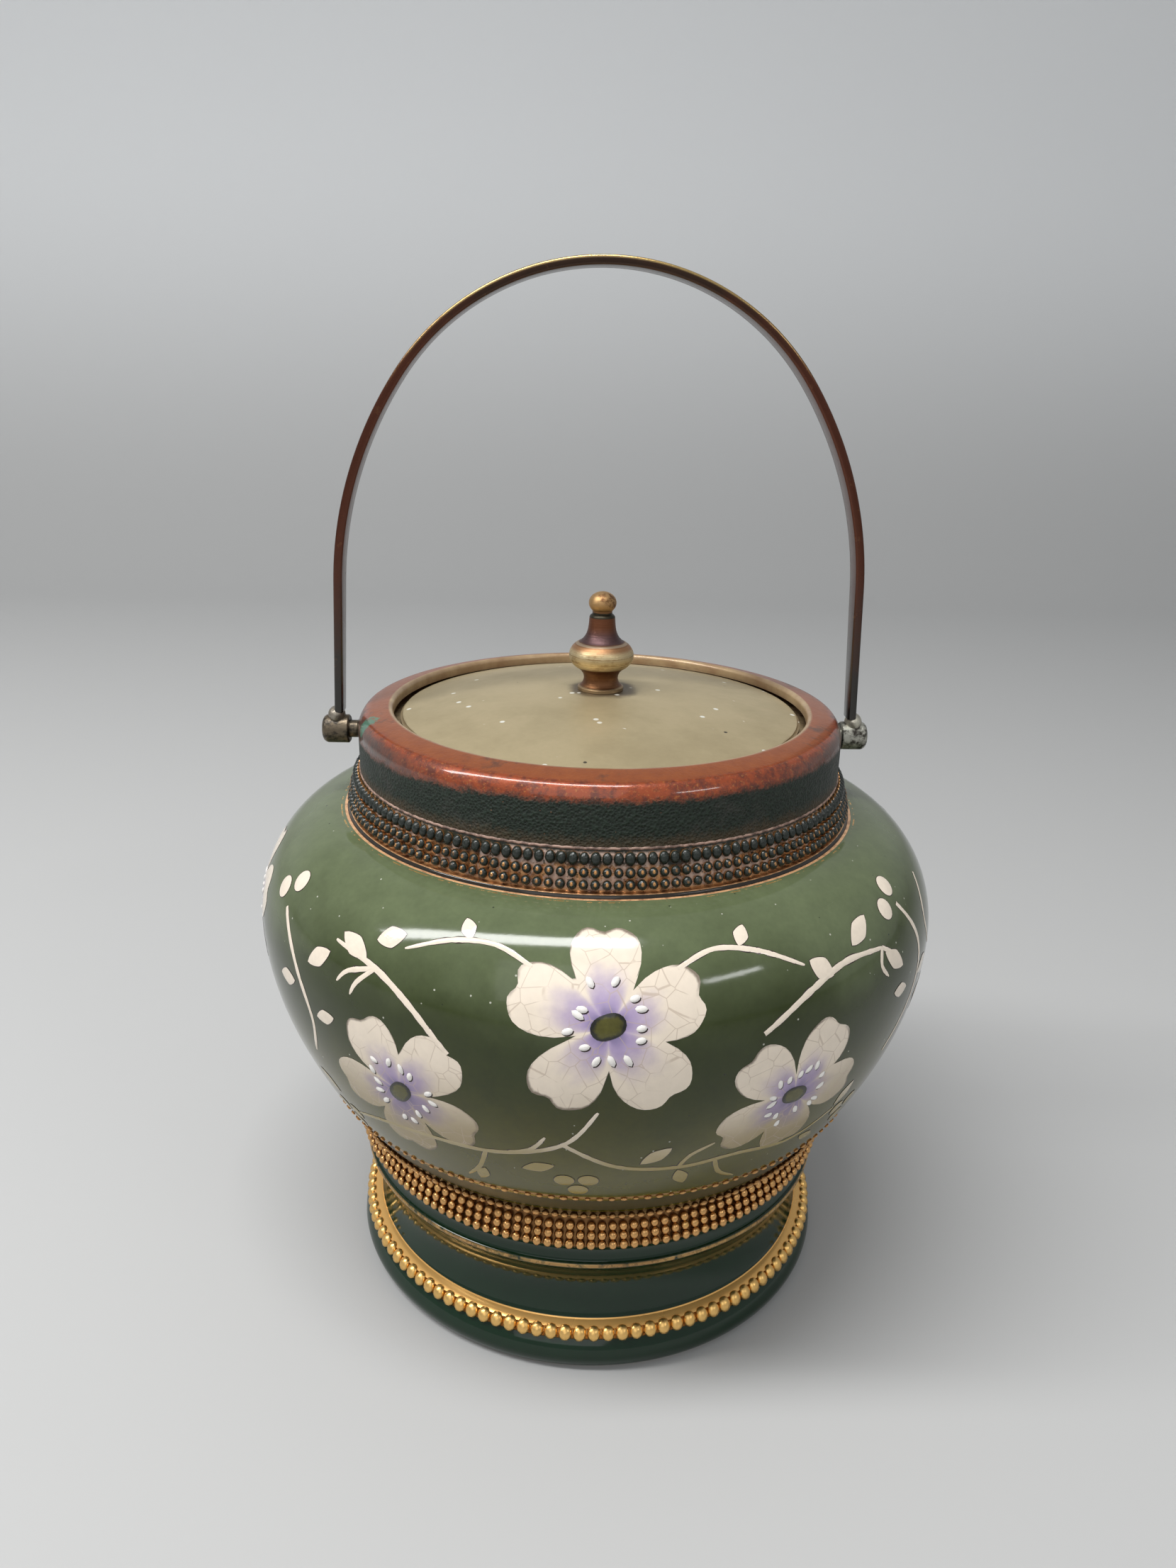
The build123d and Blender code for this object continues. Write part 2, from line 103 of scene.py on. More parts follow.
class PotSizes(PropertyGroup):
    foot_radius: length("Foot radius", "Widest point of the foot rim", 62.9)
    rim_height: length("Foot rim height", "From the table to the top of the foot rim", 8.4)
    foot_height: length("Foot height", "From the table to the top of the gilt band", 11.8)
    band_width: length("Gilt band width", "From the foot rim in to the hollow moulding", 4.6)
    hollow_radius: length("Hollow radius", "Inside of the foot", 50.5)
    scotia_height: length("Scotia height", "Height of the hollow moulding", 17.6)
    groove_radius: length("Groove radius", "Bottom of the groove under the waist beads", 60.3)
    groove_height: length("Groove height", "From the gilt line up to the waist beads", 4.6)
    waist_band_radius: length("Waist band radius", "Lower edge of the waist bead band", 61.5)
    waist_band_taper: length("Waist band taper", "How far the waist bead band draws in", 2.1)
    waist_band_height: length("Waist band height", "Height of the waist bead band", 6.8)
    waist_radius: length("Waist radius", "Where the belly starts", 60.0)
    flank_radius: length("Flank radius", "The belly's side, part of the way up", 74.9)
    flank_rise: length("Flank rise", "From the waist up to the flank", 22.1)
    belly_radius: length("Belly radius", "Widest point of the pot", BELLY_RADIUS)
    belly_rise: length("Belly rise", "From the waist up to the widest point", 56.5)
    shoulder_radius: length("Shoulder radius", "Where the shoulder meets the neck", 62.3)
    shoulder_rise: length("Shoulder rise", "From the widest point up to the neck", 25.3)
    neck_low_radius: length("Neck band radius", "Lower edge of the neck bead band", 61.0)
    neck_band_taper: length("Neck band taper", "How far the neck bead band draws in", 1.8)
    neck_band_height: length("Neck band height", "Height of the neck bead band", 8.7)
    neck_radius: length("Neck radius", "Neck under the collar", 55.55)
    mouth_radius: length("Mouth radius", "Inside of the neck", 51.0)
    wall: length("Wall", "Thickness of the pot's side", 5.0)
    floor_level: length("Floor level", "From the table to the pot's floor, inside", 44.0)
    floor_thickness: length("Floor thickness", "Thickness of the pot's floor", 6.0)


class BeadSizes(PropertyGroup):
    foot_count: number("Foot beads", "Beads round the foot", 112)
    waist_count: number("Waist beads", "Beads in one row of the waist", 154)
    seed_count: number("Seed beads", "Fine beads over the waist band", 190)
    drop_count: number("Drop beads", "Fine beads where the belly starts", 168)
    neck_count: number("Neck beads", "Beads in one row of the neck", 160)
    rows: number("Rows", "Rows of beads in a band", 3)
    foot_bead: length("Foot bead", "Half width of a foot bead", 1.6)
    waist_bead: length("Waist bead", "Half width of a waist bead", 1.0)
    neck_bead: length("Neck bead", "Half width of a neck bead", 1.08)
    neck_crown: length("Neck crown", "Half width of a bead in the neck's top row", 1.14)


class CollarSizes(PropertyGroup):
    radius: length("Collar radius", "Outside of the collar's wall", COLLAR_HIGH.x)
    sheet: length("Sheet", "Thickness of the collar's metal", 0.9)
    roll_width: length("Roll width", "How far the rolled rim turns in", 2.1)
    roll_rise: length("Roll rise", "Height of the rolled rim's outer curve", 3.4)
    wall_height: length("Wall height", "The upright part, below the rolled rim", 9.9)
    lip_radius: length("Lip radius", "Inner edge of the rolled rim", 50.5)
    lip_roll: length("Lip roll", "Rounding of the inner edge", 1.1)
    lip_depth: length("Lip depth", "The turned-down inner edge", 2.6)


class LidSizes(PropertyGroup):
    radius: length("Lid radius", "Outer edge of the lid", LID_HIGH.x)
    sheet: length("Sheet", "Thickness of the lid's metal", 0.8)
    rim_height: length("Rim height", "The turned-down edge", 2.1)
    rise: length("Rise", "Height of the dome over its edge", 5.5)
    bore: length("Bore", "Radius of the hole for the stud", 2.05)


class KnobSizes(PropertyGroup):
    foot_radius: length("Foot radius", "Thin disc under the knob", 5.6)
    foot_edge: length("Foot edge", "Thickness of the disc", 0.9)
    waist_radius: length("Waist radius", "Narrowest point of the stem", 4.2)
    waist_height: length("Waist height", "From the lid up to the narrowest point", 3.0)
    stem_radius: length("Stem radius", "Top of the stem", 5.8)
    ring_radius: length("Ring radius", "Widest point of the ring", 7.9)
    cap_radius: length("Cap radius", "Foot of the bell", 5.5)
    bell_radius: length("Bell radius", "Top of the bell", 3.1)
    bell_height: length("Bell height", "From the ring up to the top of the bell", 6.0)
    groove_radius: length("Groove radius", "Groove between bell and ball", 2.4)
    ball_radius: length("Ball radius", "Half the width of the ball", 3.35)
    ball_half_height: length("Ball half height", "Half the height of the ball", 2.7)


class HandleSizes(PropertyGroup):
    rise: length("Rise", "From the hinge line to the crown", HANDLE_HIGH.z - PIVOT_LEVEL)
    thickness: length("Thickness", "Thickness of the strip", 2.1)
    end_width: length("End width", "Width of the strip at its ends", 5.0)
    crown_width: length("Crown width", "Width of the strip at the crown", 10.0)
    rounding: length("Rounding", "Rounding of the strip's long edges", 0.55)
    crown_radius: length("Crown radius", "Radius of the crown arc, outside", 57.0)
    half_span: length("Half span", "From the middle to the leg's outer face, at the hinge line", 64.55)
    boss_radius: length("Boss radius", "Radius of the barrel at each end", 3.5)
    boss_rounding: length("Boss rounding", "Rounding of the barrel's outer end", 1.5)


class FlowerSizes(PropertyGroup):
    lift: length("Lift", "How far the painted shapes stand off the glaze", 0.05)
    enamel: length("Enamel height", "How far an enamel dot stands up", 0.3)
    seed: number("Seed", "Fixes the irregularities of the brush", 7)


class Colours(PropertyGroup):
    sage: colour("Sage", "Glaze on the shoulder", 0.100, 0.124, 0.061)
    green: colour("Green", "Glaze on the belly", 0.023, 0.032, 0.005)
    olive: colour("Olive", "Glaze low on the belly", 0.078, 0.068, 0.0)
    bottle: colour("Bottle green", "Glaze of the foot", 0.004, 0.020, 0.008)
    gilt: colour("Gilt", "Bright gilding", 0.88, 0.55, 0.19)
    worn_gilt: colour("Worn gilt", "Dull copper-brown gilding", 0.66, 0.37, 0.145)
    cream: colour("Cream", "Painted petals", 0.77, 0.67, 0.55)
    violet: colour("Violet", "The heart of a blossom", 0.33, 0.25, 0.46)
    buff: colour("Buff", "Petals painted low on the pot", 0.26, 0.19, 0.07)
    eye: colour("Eye", "Olive middle of a blossom", 0.07, 0.065, 0.012)
    collar_dark: colour("Collar side", "Green-black tarnish", 0.008, 0.014, 0.009)
    collar_copper: colour("Collar roll", "Red copper tarnish", 0.27, 0.048, 0.010)
    khaki: colour("Lid", "Dulled plate of the lid", 0.47, 0.385, 0.23)
    brass: colour("Brass", "Bright turned brass", 0.60, 0.48, 0.28)
    brown_brass: colour("Brown brass", "Brown tarnish on the knob", 0.16, 0.07, 0.03)
    handle_brown: colour("Handle", "Dark red-brown tarnish of the strip", 0.095, 0.025, 0.010)
    pewter: colour("Boss", "Dull grey tarnish of the bosses", 0.14, 0.11, 0.075)
    plaster: colour("Plaster", "Bed under the collar", 0.75, 0.70, 0.62)


class BiscuitJar(PropertyGroup):
    pot: PointerProperty(type=PotSizes)
    beads: PointerProperty(type=BeadSizes)
    collar: PointerProperty(type=CollarSizes)
    lid: PointerProperty(type=LidSizes)
    knob: PointerProperty(type=KnobSizes)
    handle: PointerProperty(type=HandleSizes)
    flowers: PointerProperty(type=FlowerSizes)
    colours: PointerProperty(type=Colours)


def sizes_of(group):
    """The group's values by name, lengths in millimetres."""
    values = {}
    for name in group.__annotations__:
        value = getattr(group, name)
        values[name] = value / MM if isinstance(value, float) else value
    return SimpleNamespace(**values)


# ---- Sections ----


def toward(angle):
    """The direction at an angle in radians, in a section's own plane."""
    return Vector((math.cos(angle), math.sin(angle)))


def bow(first, last, depth, steps=6):
    """Points from first to last in a shallow bow that swells outwards by depth on the way up."""
    (x0, y0), (x1, y1) = first, last
    across, up = x1 - x0, y1 - y0
    reach = math.hypot(across, up)
    points = []
    for step in range(steps + 1):
        share = step / steps
        swell = 4 * depth * share * (1 - share) / reach
        points.append((x0 + across * share + up * swell, y0 + up * share - across * swell))
    return points


def ellipse(centre, across, up, start, stop, steps=16):
    """Points of an ellipse between two angles in degrees."""
    angles = [math.radians(start + (stop - start) * step / steps) for step in range(steps + 1)]
    return [(centre[0] + across * math.cos(angle), centre[1] + up * math.sin(angle)) for angle in angles]


def smooth(knots, start, finish, steps=14):
    """Smooth curve through three points, with the directions in which it starts and ends."""
    first, middle, last = (Vector(knot) for knot in knots)
    near, far = (middle - first).length, (last - middle).length
    leave, arrive = Vector(start).normalized(), Vector(finish).normalized()
    pull = 3 * (far * (middle - first) / near + near * (last - middle) / far)
    through = (pull - far * leave - near * arrive) / (2 * (near + far))
    points = []
    spans = ((first, middle, leave, through, near), (middle, last, through, arrive, far))
    for a, b, slope_a, slope_b, reach in spans:
        for step in range(steps):
            t = step / steps
            points.append(
                a * (1 + 2 * t) * (1 - t) ** 2
                + slope_a * reach * t * (1 - t) ** 2
                + b * t**2 * (3 - 2 * t)
                + slope_b * reach * t**2 * (t - 1)
            )
    return [tuple(point) for point in points] + [tuple(last)]


FLOOR_OVER_WAIST = 1.0
GILT_LINE_HEIGHT = 1.6
NECK_LINE_HEIGHT = 0.8
BELLY_LEAN = math.radians(43.0)  # from the upright, where the belly leaves the waist


def levels(pot):
    """Heights at which the pot's mouldings start and end."""
    at = SimpleNamespace(waist=pot.floor_level - FLOOR_OVER_WAIST)
    at.scotia_top = pot.foot_height + pot.scotia_height
    at.belly = at.waist + pot.belly_rise
    at.groove = at.scotia_top + GILT_LINE_HEIGHT
    at.band = at.groove + pot.groove_height
    at.band_top = at.band + pot.waist_band_height
    at.neck_line = at.belly + pot.shoulder_rise
    at.neck = at.neck_line + NECK_LINE_HEIGHT
    at.neck_top = at.neck + pot.neck_band_height
    return at


def belly_outline(pot, wall=0.0):
    """Section of the belly and the shoulder, in from the outside by wall."""
    at = levels(pot)
    low = (pot.waist_radius, at.waist)
    flank = (pot.flank_radius, at.waist + pot.flank_rise)
    if wall:
        low = (pot.waist_radius + 4.5 - wall, pot.floor_level + 5.9)
        flank = (flank[0] - wall * math.cos(BELLY_LEAN / 2), flank[1] + wall * math.sin(BELLY_LEAN / 2))
    widest = (pot.belly_radius - wall, at.belly)
    side = smooth([low, flank, widest], (math.sin(BELLY_LEAN), math.cos(BELLY_LEAN)), (0, 1))
    reach = pot.belly_radius - wall - pot.shoulder_radius
    return side + ellipse((pot.shoulder_radius, at.belly), reach, pot.shoulder_rise - wall, 0, 90, 24)[1:]


def pot_outline(pot):
    """Closed section of the pot, from the hollow under its foot, round the outside, to its floor."""
    at = levels(pot)
    hollow_top = pot.floor_level - pot.floor_thickness
    foot, foot_side, foot_middle = pot.foot_radius, pot.foot_radius - 2.0, pot.rim_height / 2
    gilt_in = foot - pot.band_width
    groove, band, waist = pot.groove_radius, pot.waist_band_radius, pot.waist_radius
    neck_band, neck, mouth = pot.neck_low_radius, pot.neck_radius, pot.mouth_radius
    neck_band_in = neck_band - pot.neck_band_taper
    inside = belly_outline(pot, pot.wall)
    corner = inside[0]
    return [
        (0, hollow_top),
        *ellipse((pot.hollow_radius - 4, hollow_top - 4), 4, 4, 90, 0, 6),
        *bow((pot.hollow_radius, 3.5), (foot - 8.9, 0.25), -0.6),
        (foot_side - 1.2, 0.0),
        *bow((foot_side - 0.3, 0.0), (foot, foot_middle), 0.55, 8),
        *bow((foot, foot_middle), (foot_side + 0.2, pot.rim_height), 0.4, 8)[1:],
        *bow((foot_side - 1.0, pot.rim_height + 0.3), (foot_side - 0.9, pot.foot_height - 0.9), -0.3, 5),
        *bow((foot_side - 0.4, pot.foot_height - 0.7), (gilt_in, pot.foot_height), 0.15, 5),
        *bow((gilt_in - 0.3, pot.foot_height + 0.4), (groove + 0.7, at.scotia_top), -2.9, 22),
        *bow((groove + 0.9, at.scotia_top + 0.2), (groove + 0.2, at.groove), 0.45, 6),
        *bow((groove, at.groove + 0.3), (band - 0.6, at.band), -0.5, 6),
        *bow((band - 0.3, at.band + 0.3), (waist - 0.9, at.band_top), 0.1, 8),
        *belly_outline(pot),
        *bow((pot.shoulder_radius - 0.1, at.neck_line + 0.05), (neck_band + 0.3, at.neck), 0.25, 4),
        *bow((neck_band - 0.3, at.neck + 0.2), (neck_band_in - 0.3, at.neck_top), 0.1, 8),
        (neck, at.neck_top),
        (neck, POT_TOP - 1.2),
        *bow((neck - 0.1, POT_TOP - 0.9), (neck - 1.2, POT_TOP), 0.25, 4),
        (mouth + 0.8, POT_TOP),
        (mouth, POT_TOP - 0.8),
        *bow((mouth, at.neck_line - pot.wall + 5.0), (mouth + 5.0, at.neck_line - pot.wall), -1.0, 6),
        *reversed(inside),
        *bow((corner[0] - 0.4, corner[1] - 0.5), (corner[0] - 11.5, pot.floor_level), 1.2, 8),
        (0, pot.floor_level),
    ]


def collar_outline(collar):
    """Closed section of the collar's sheet: outer face up and over to the lip, inner face back down."""
    roll_low = COLLAR_LOW.z + collar.wall_height
    crest = COLLAR_HIGH.z

    def face(drop):
        """One face of the sheet, in from the outer one by drop."""
        wall = collar.radius - drop
        roll_middle = (wall - 0.35 * collar.roll_width, roll_low + 0.62 * collar.roll_rise)
        roll_top = (collar.radius - collar.roll_width - 0.25 * drop, roll_low + collar.roll_rise - drop)
        roll = smooth([(wall, roll_low), roll_middle, roll_top], (0, 1), (-1, 0.35), 6)
        centre = (collar.lip_radius + collar.lip_roll, crest - collar.lip_roll)
        lip = ellipse(centre, collar.lip_roll - 0.5 * drop, collar.lip_roll - drop, 100, 180, 8)
        lip = [(radius + 0.5 * drop, level) for radius, level in lip]
        edge = (collar.lip_radius + drop, crest - collar.lip_depth)
        return [(wall, COLLAR_LOW.z), *roll, *bow(roll_top, lip[0], 0.12, 8)[1:], *lip[1:], edge]

    return face(0.0) + list(reversed(face(collar.sheet)))


def lid_outline(lid):
    """Closed section of the lid's sheet: a shallow dome with its edge turned down."""
    edge_level = LID_LOW.z + lid.rim_height
    dome_radius = (lid.radius**2 + lid.rise**2) / (2 * lid.rise)
    centre = edge_level + lid.rise - dome_radius

    def height(radius, drop=0.0):
        return centre + math.sqrt((dome_radius - drop) ** 2 - radius**2)

    stations = [lid.bore + (lid.radius - 1.0 - lid.bore) * step / 24 for step in range(25)]
    rim_bore = lid.radius - lid.sheet
    return [
        *[(radius, height(radius)) for radius in stations],
        *bow((lid.radius - 0.6, height(lid.radius - 0.6)), (lid.radius, edge_level - 0.5), 0.15, 4),
        (lid.radius, LID_LOW.z),
        (rim_bore, LID_LOW.z),
        *[(radius, height(radius, lid.sheet)) for radius in reversed(stations)],
    ]


# ---- Meshes ----


def smooth_mesh(mesh, sharp=35.0):
    """Shades a mesh smooth, with creases where its faces meet at more than the sharp angle."""
    mesh.polygons.foreach_set("use_smooth", [True] * len(mesh.polygons))
    mesh.set_sharp_from_angle(angle=math.radians(sharp))
    mesh.update()
    return mesh


def finished(bm, name, sharp=35.0):
    """The mesh that a bmesh holds, shaded smooth."""
    mesh = bpy.data.meshes.new(name)
    bm.to_mesh(mesh)
    bm.free()
    return smooth_mesh(mesh, sharp)


def lathe(name, outline, turns=192, closed=False, axis=None):
    """Turns a section of (radius, height) points, in millimetres, about the jar's axis or a given one."""
    bm = bmesh.new()
    rings = []
    for radius, level in outline:
        if radius < 1e-6:
            rings.append([bm.verts.new((0, 0, level * MM))])
            continue
        angles = [math.tau * turn / turns for turn in range(turns)]
        rings.append(
            [bm.verts.new((radius * MM * math.cos(a), radius * MM * math.sin(a), level * MM)) for a in angles]
        )
    pairs = list(zip(rings, rings[1:]))
    if closed:
        pairs.append((rings[-1], rings[0]))
    for lower, upper in pairs:
        for turn in range(turns if len(lower) + len(upper) > 2 else 0):
            after = turn + 1
            ring_corners = [
                lower[turn % len(lower)],
                lower[after % len(lower)],
                upper[after % len(upper)],
                upper[turn % len(upper)],
            ]
            bm.faces.new(list(dict.fromkeys(ring_corners)))
    bmesh.ops.recalc_face_normals(bm, faces=bm.faces)
    if axis is not None:
        bm.transform(axis)
    return finished(bm, name)


def stand(mesh, body, finish, slot, *replaced):
    """Makes a piece of a mesh that rides on a body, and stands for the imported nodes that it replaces."""
    piece = bpy.data.objects.new(mesh.name, mesh)
    bpy.context.scene.collection.objects.link(piece)
    if finish is not None:
        mesh.materials.clear()
        mesh.materials.append(finish)
    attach(piece, body)
    if replaced:
        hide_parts(*replaced)
    return piece


def dress(finish, *names):
    """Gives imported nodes, whose own shape stays, a finish."""
    for name in names:
        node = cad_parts[name]
        if not node.material_slots:
            node.data.materials.append(finish)
        for material_slot in node.material_slots:
            material_slot.material = finish


# ---- Node trees ----


def maths(operation, swapped=False):
    """An operator of Signal that adds a Math node."""

    def method(self, other):
        first, second = (other, self) if swapped else (self, other)
        return self.graph.math(operation, first, second)

    return method


class Signal:
    """An output socket in a tree; its operators add Math nodes, so they hold for numbers only."""

    def __init__(self, graph, socket):
        self.graph = graph
        self.socket = socket

    __add__, __radd__ = maths("ADD"), maths("ADD", swapped=True)
    __sub__, __rsub__ = maths("SUBTRACT"), maths("SUBTRACT", swapped=True)
    __mul__, __rmul__ = maths("MULTIPLY"), maths("MULTIPLY", swapped=True)
    __truediv__ = maths("DIVIDE")
    __pow__ = maths("POWER")
    __gt__ = maths("GREATER_THAN")
    __lt__ = maths("LESS_THAN")

    def __neg__(self):
        return self * -1.0

    def __abs__(self):
        return self.graph.math("ABSOLUTE", self)

    def clamped(self):
        return self.graph.math("ADD", self, 0.0, clamp=True)


class Graph:
    """A node tree, with one way to add a node: its type, its settings, then its sockets."""

    def __init__(self, tree):
        self.tree = tree

    def node(self, kind, settings=None, inputs=None, output=0):
        node = self.tree.nodes.new(kind)
        for name, value in (settings or {}).items():
            setattr(node, name, value)
        for name, value in (inputs or {}).items():
            if isinstance(value, Signal):
                self.tree.links.new(value.socket, node.inputs[name])
            else:
                node.inputs[name].default_value = value
        return Signal(self, node.outputs[output]) if node.outputs else node

    def math(self, operation, *values, clamp=False):
        settings = {"operation": operation, "use_clamp": clamp}
        return self.node("ShaderNodeMath", settings, dict(enumerate(values)))

    def scaled(self, vector, amount):
        """A vector or a colour times a number."""
        return self.node("ShaderNodeVectorMath", {"operation": "SCALE"}, {0: vector, "Scale": amount})

    def distance(self, first, second):
        """How far apart two places are."""
        return self.node("ShaderNodeVectorMath", {"operation": "DISTANCE"}, {0: first, 1: second}, "Value")

    def split(self, vector):
        """The three parts of a vector."""
        first = self.node("ShaderNodeSeparateXYZ", {}, {0: vector})
        return [Signal(self, output) for output in first.socket.node.outputs]

    def join(self, *parts):
        return self.node("ShaderNodeCombineXYZ", {}, dict(enumerate(parts)))


class Finish(Graph):
    """A material under construction, with the surface's place in millimetres."""

    def __init__(self, name):
        self.material = bpy.data.materials.new(name)
        self.material.use_nodes = True
        super().__init__(self.material.node_tree)
        self.tree.nodes.clear()
        where = self.node("ShaderNodeTexCoord", {}, {}, "Object")
        self.place = self.scaled(where, 1 / MM)
        self.x, self.y, self.z = self.split(self.place)
        self.radius = (self.x * self.x + self.y * self.y) ** 0.5

    def noise(self, size, detail=3.0, roughness=0.5):
        """Cloudy noise from 0 to 1 whose lumps are about size millimetres across."""
        inputs = {"Vector": self.place, "Scale": 1 / size, "Detail": detail, "Roughness": roughness}
        return self.node("ShaderNodeTexNoise", {}, inputs, "Fac")

    def sway(self, width, *noise):
        """Noise about 0, over a width."""
        return (self.noise(*noise) - 0.5) * width

    def patches(self, low, high, *noise):
        """Ragged patches: 0 where the noise is at low, and 1 at high."""
        return self.ease(self.noise(*noise), low, high)

    def turning_marks(self, along, scale, detail, roughness=0.5):
        """Fine rings that follow one measure, from 0 to 1."""
        inputs = {"W": along, "Scale": scale, "Detail": detail, "Roughness": roughness}
        return self.node("ShaderNodeTexNoise", {"noise_dimensions": "1D"}, inputs, "Fac")

    def cells(self, size, feature="F1"):
        """Distance within a pattern of cells about size millimetres across."""
        inputs = {"Vector": self.place, "Scale": 1 / size}
        return self.node("ShaderNodeTexVoronoi", {"feature": feature}, inputs, "Distance")

    def specks(self, size, reach, patch, rare=0.62):
        """Small round specks: reach is how far one covers its cell, and patch the size of a group."""
        return self.ease(self.cells(size), reach, reach * 0.6) * (self.noise(patch, 2) > rare)

    def ease(self, value, low, high):
        """0 where the value is at low, 1 at high, and smooth between."""
        settings = {"interpolation_type": "SMOOTHSTEP"}
        return self.node("ShaderNodeMapRange", settings, {"Value": value, 1: low, 2: high})

    def band(self, value, low, high, soft):
        """1 between two values, falling off over soft on each side."""
        return self.ease(value, low - soft, low) * self.ease(value, high + soft, high)

    def mix(self, first, second, share):
        """Blends two colours."""
        pair = [shade if isinstance(shade, Signal) else (*shade, 1.0) for shade in (first, second)]
        settings = {"data_type": "RGBA", "clamp_factor": True}
        return self.node("ShaderNodeMix", settings, {"Factor": share, 6: pair[0], 7: pair[1]}, 2)

    def coats(self, shade, *coats):
        """A colour under coats, each given as its colour and how far it covers."""
        for coat, share in coats:
            shade = self.mix(shade, coat, share)
        return shade

    def bump(self, height, distance):
        """A surface normal roughened by a height, in millimetres times distance."""
        return self.node("ShaderNodeBump", {}, {"Height": height, "Distance": distance * MM})

    def bead_place(self):
        """Outward, sideways and upward place on a bead, each from -1 to 1."""
        return self.split(self.node("ShaderNodeAttribute", {"attribute_name": "bead"}, {}, "Vector"))

    def reach(self):
        """Distance from the middle of a painted shape, from 0 to 1 at its edge."""
        across, up, _ = self.split(self.node("ShaderNodeTexCoord", {}, {}, "UV"))
        return (across * across + up * up) ** 0.5

    def surface(self, **sockets):
        """Closes the material with one shader; underscores in names stand for spaces."""
        inputs = {name.replace("_", " ").title().replace("Ior", "IOR"): sockets[name] for name in sockets}
        shader = self.node("ShaderNodeBsdfPrincipled", {}, inputs)
        self.node("ShaderNodeOutputMaterial", {}, {"Surface": shader})
        return self.material


def shades():
    """The jar's colours by name, as plain tuples."""
    group = bpy.context.scene.biscuit_jar.colours
    return SimpleNamespace(**{name: tuple(getattr(group, name)) for name in group.__annotations__})


# ---- Finishes ----


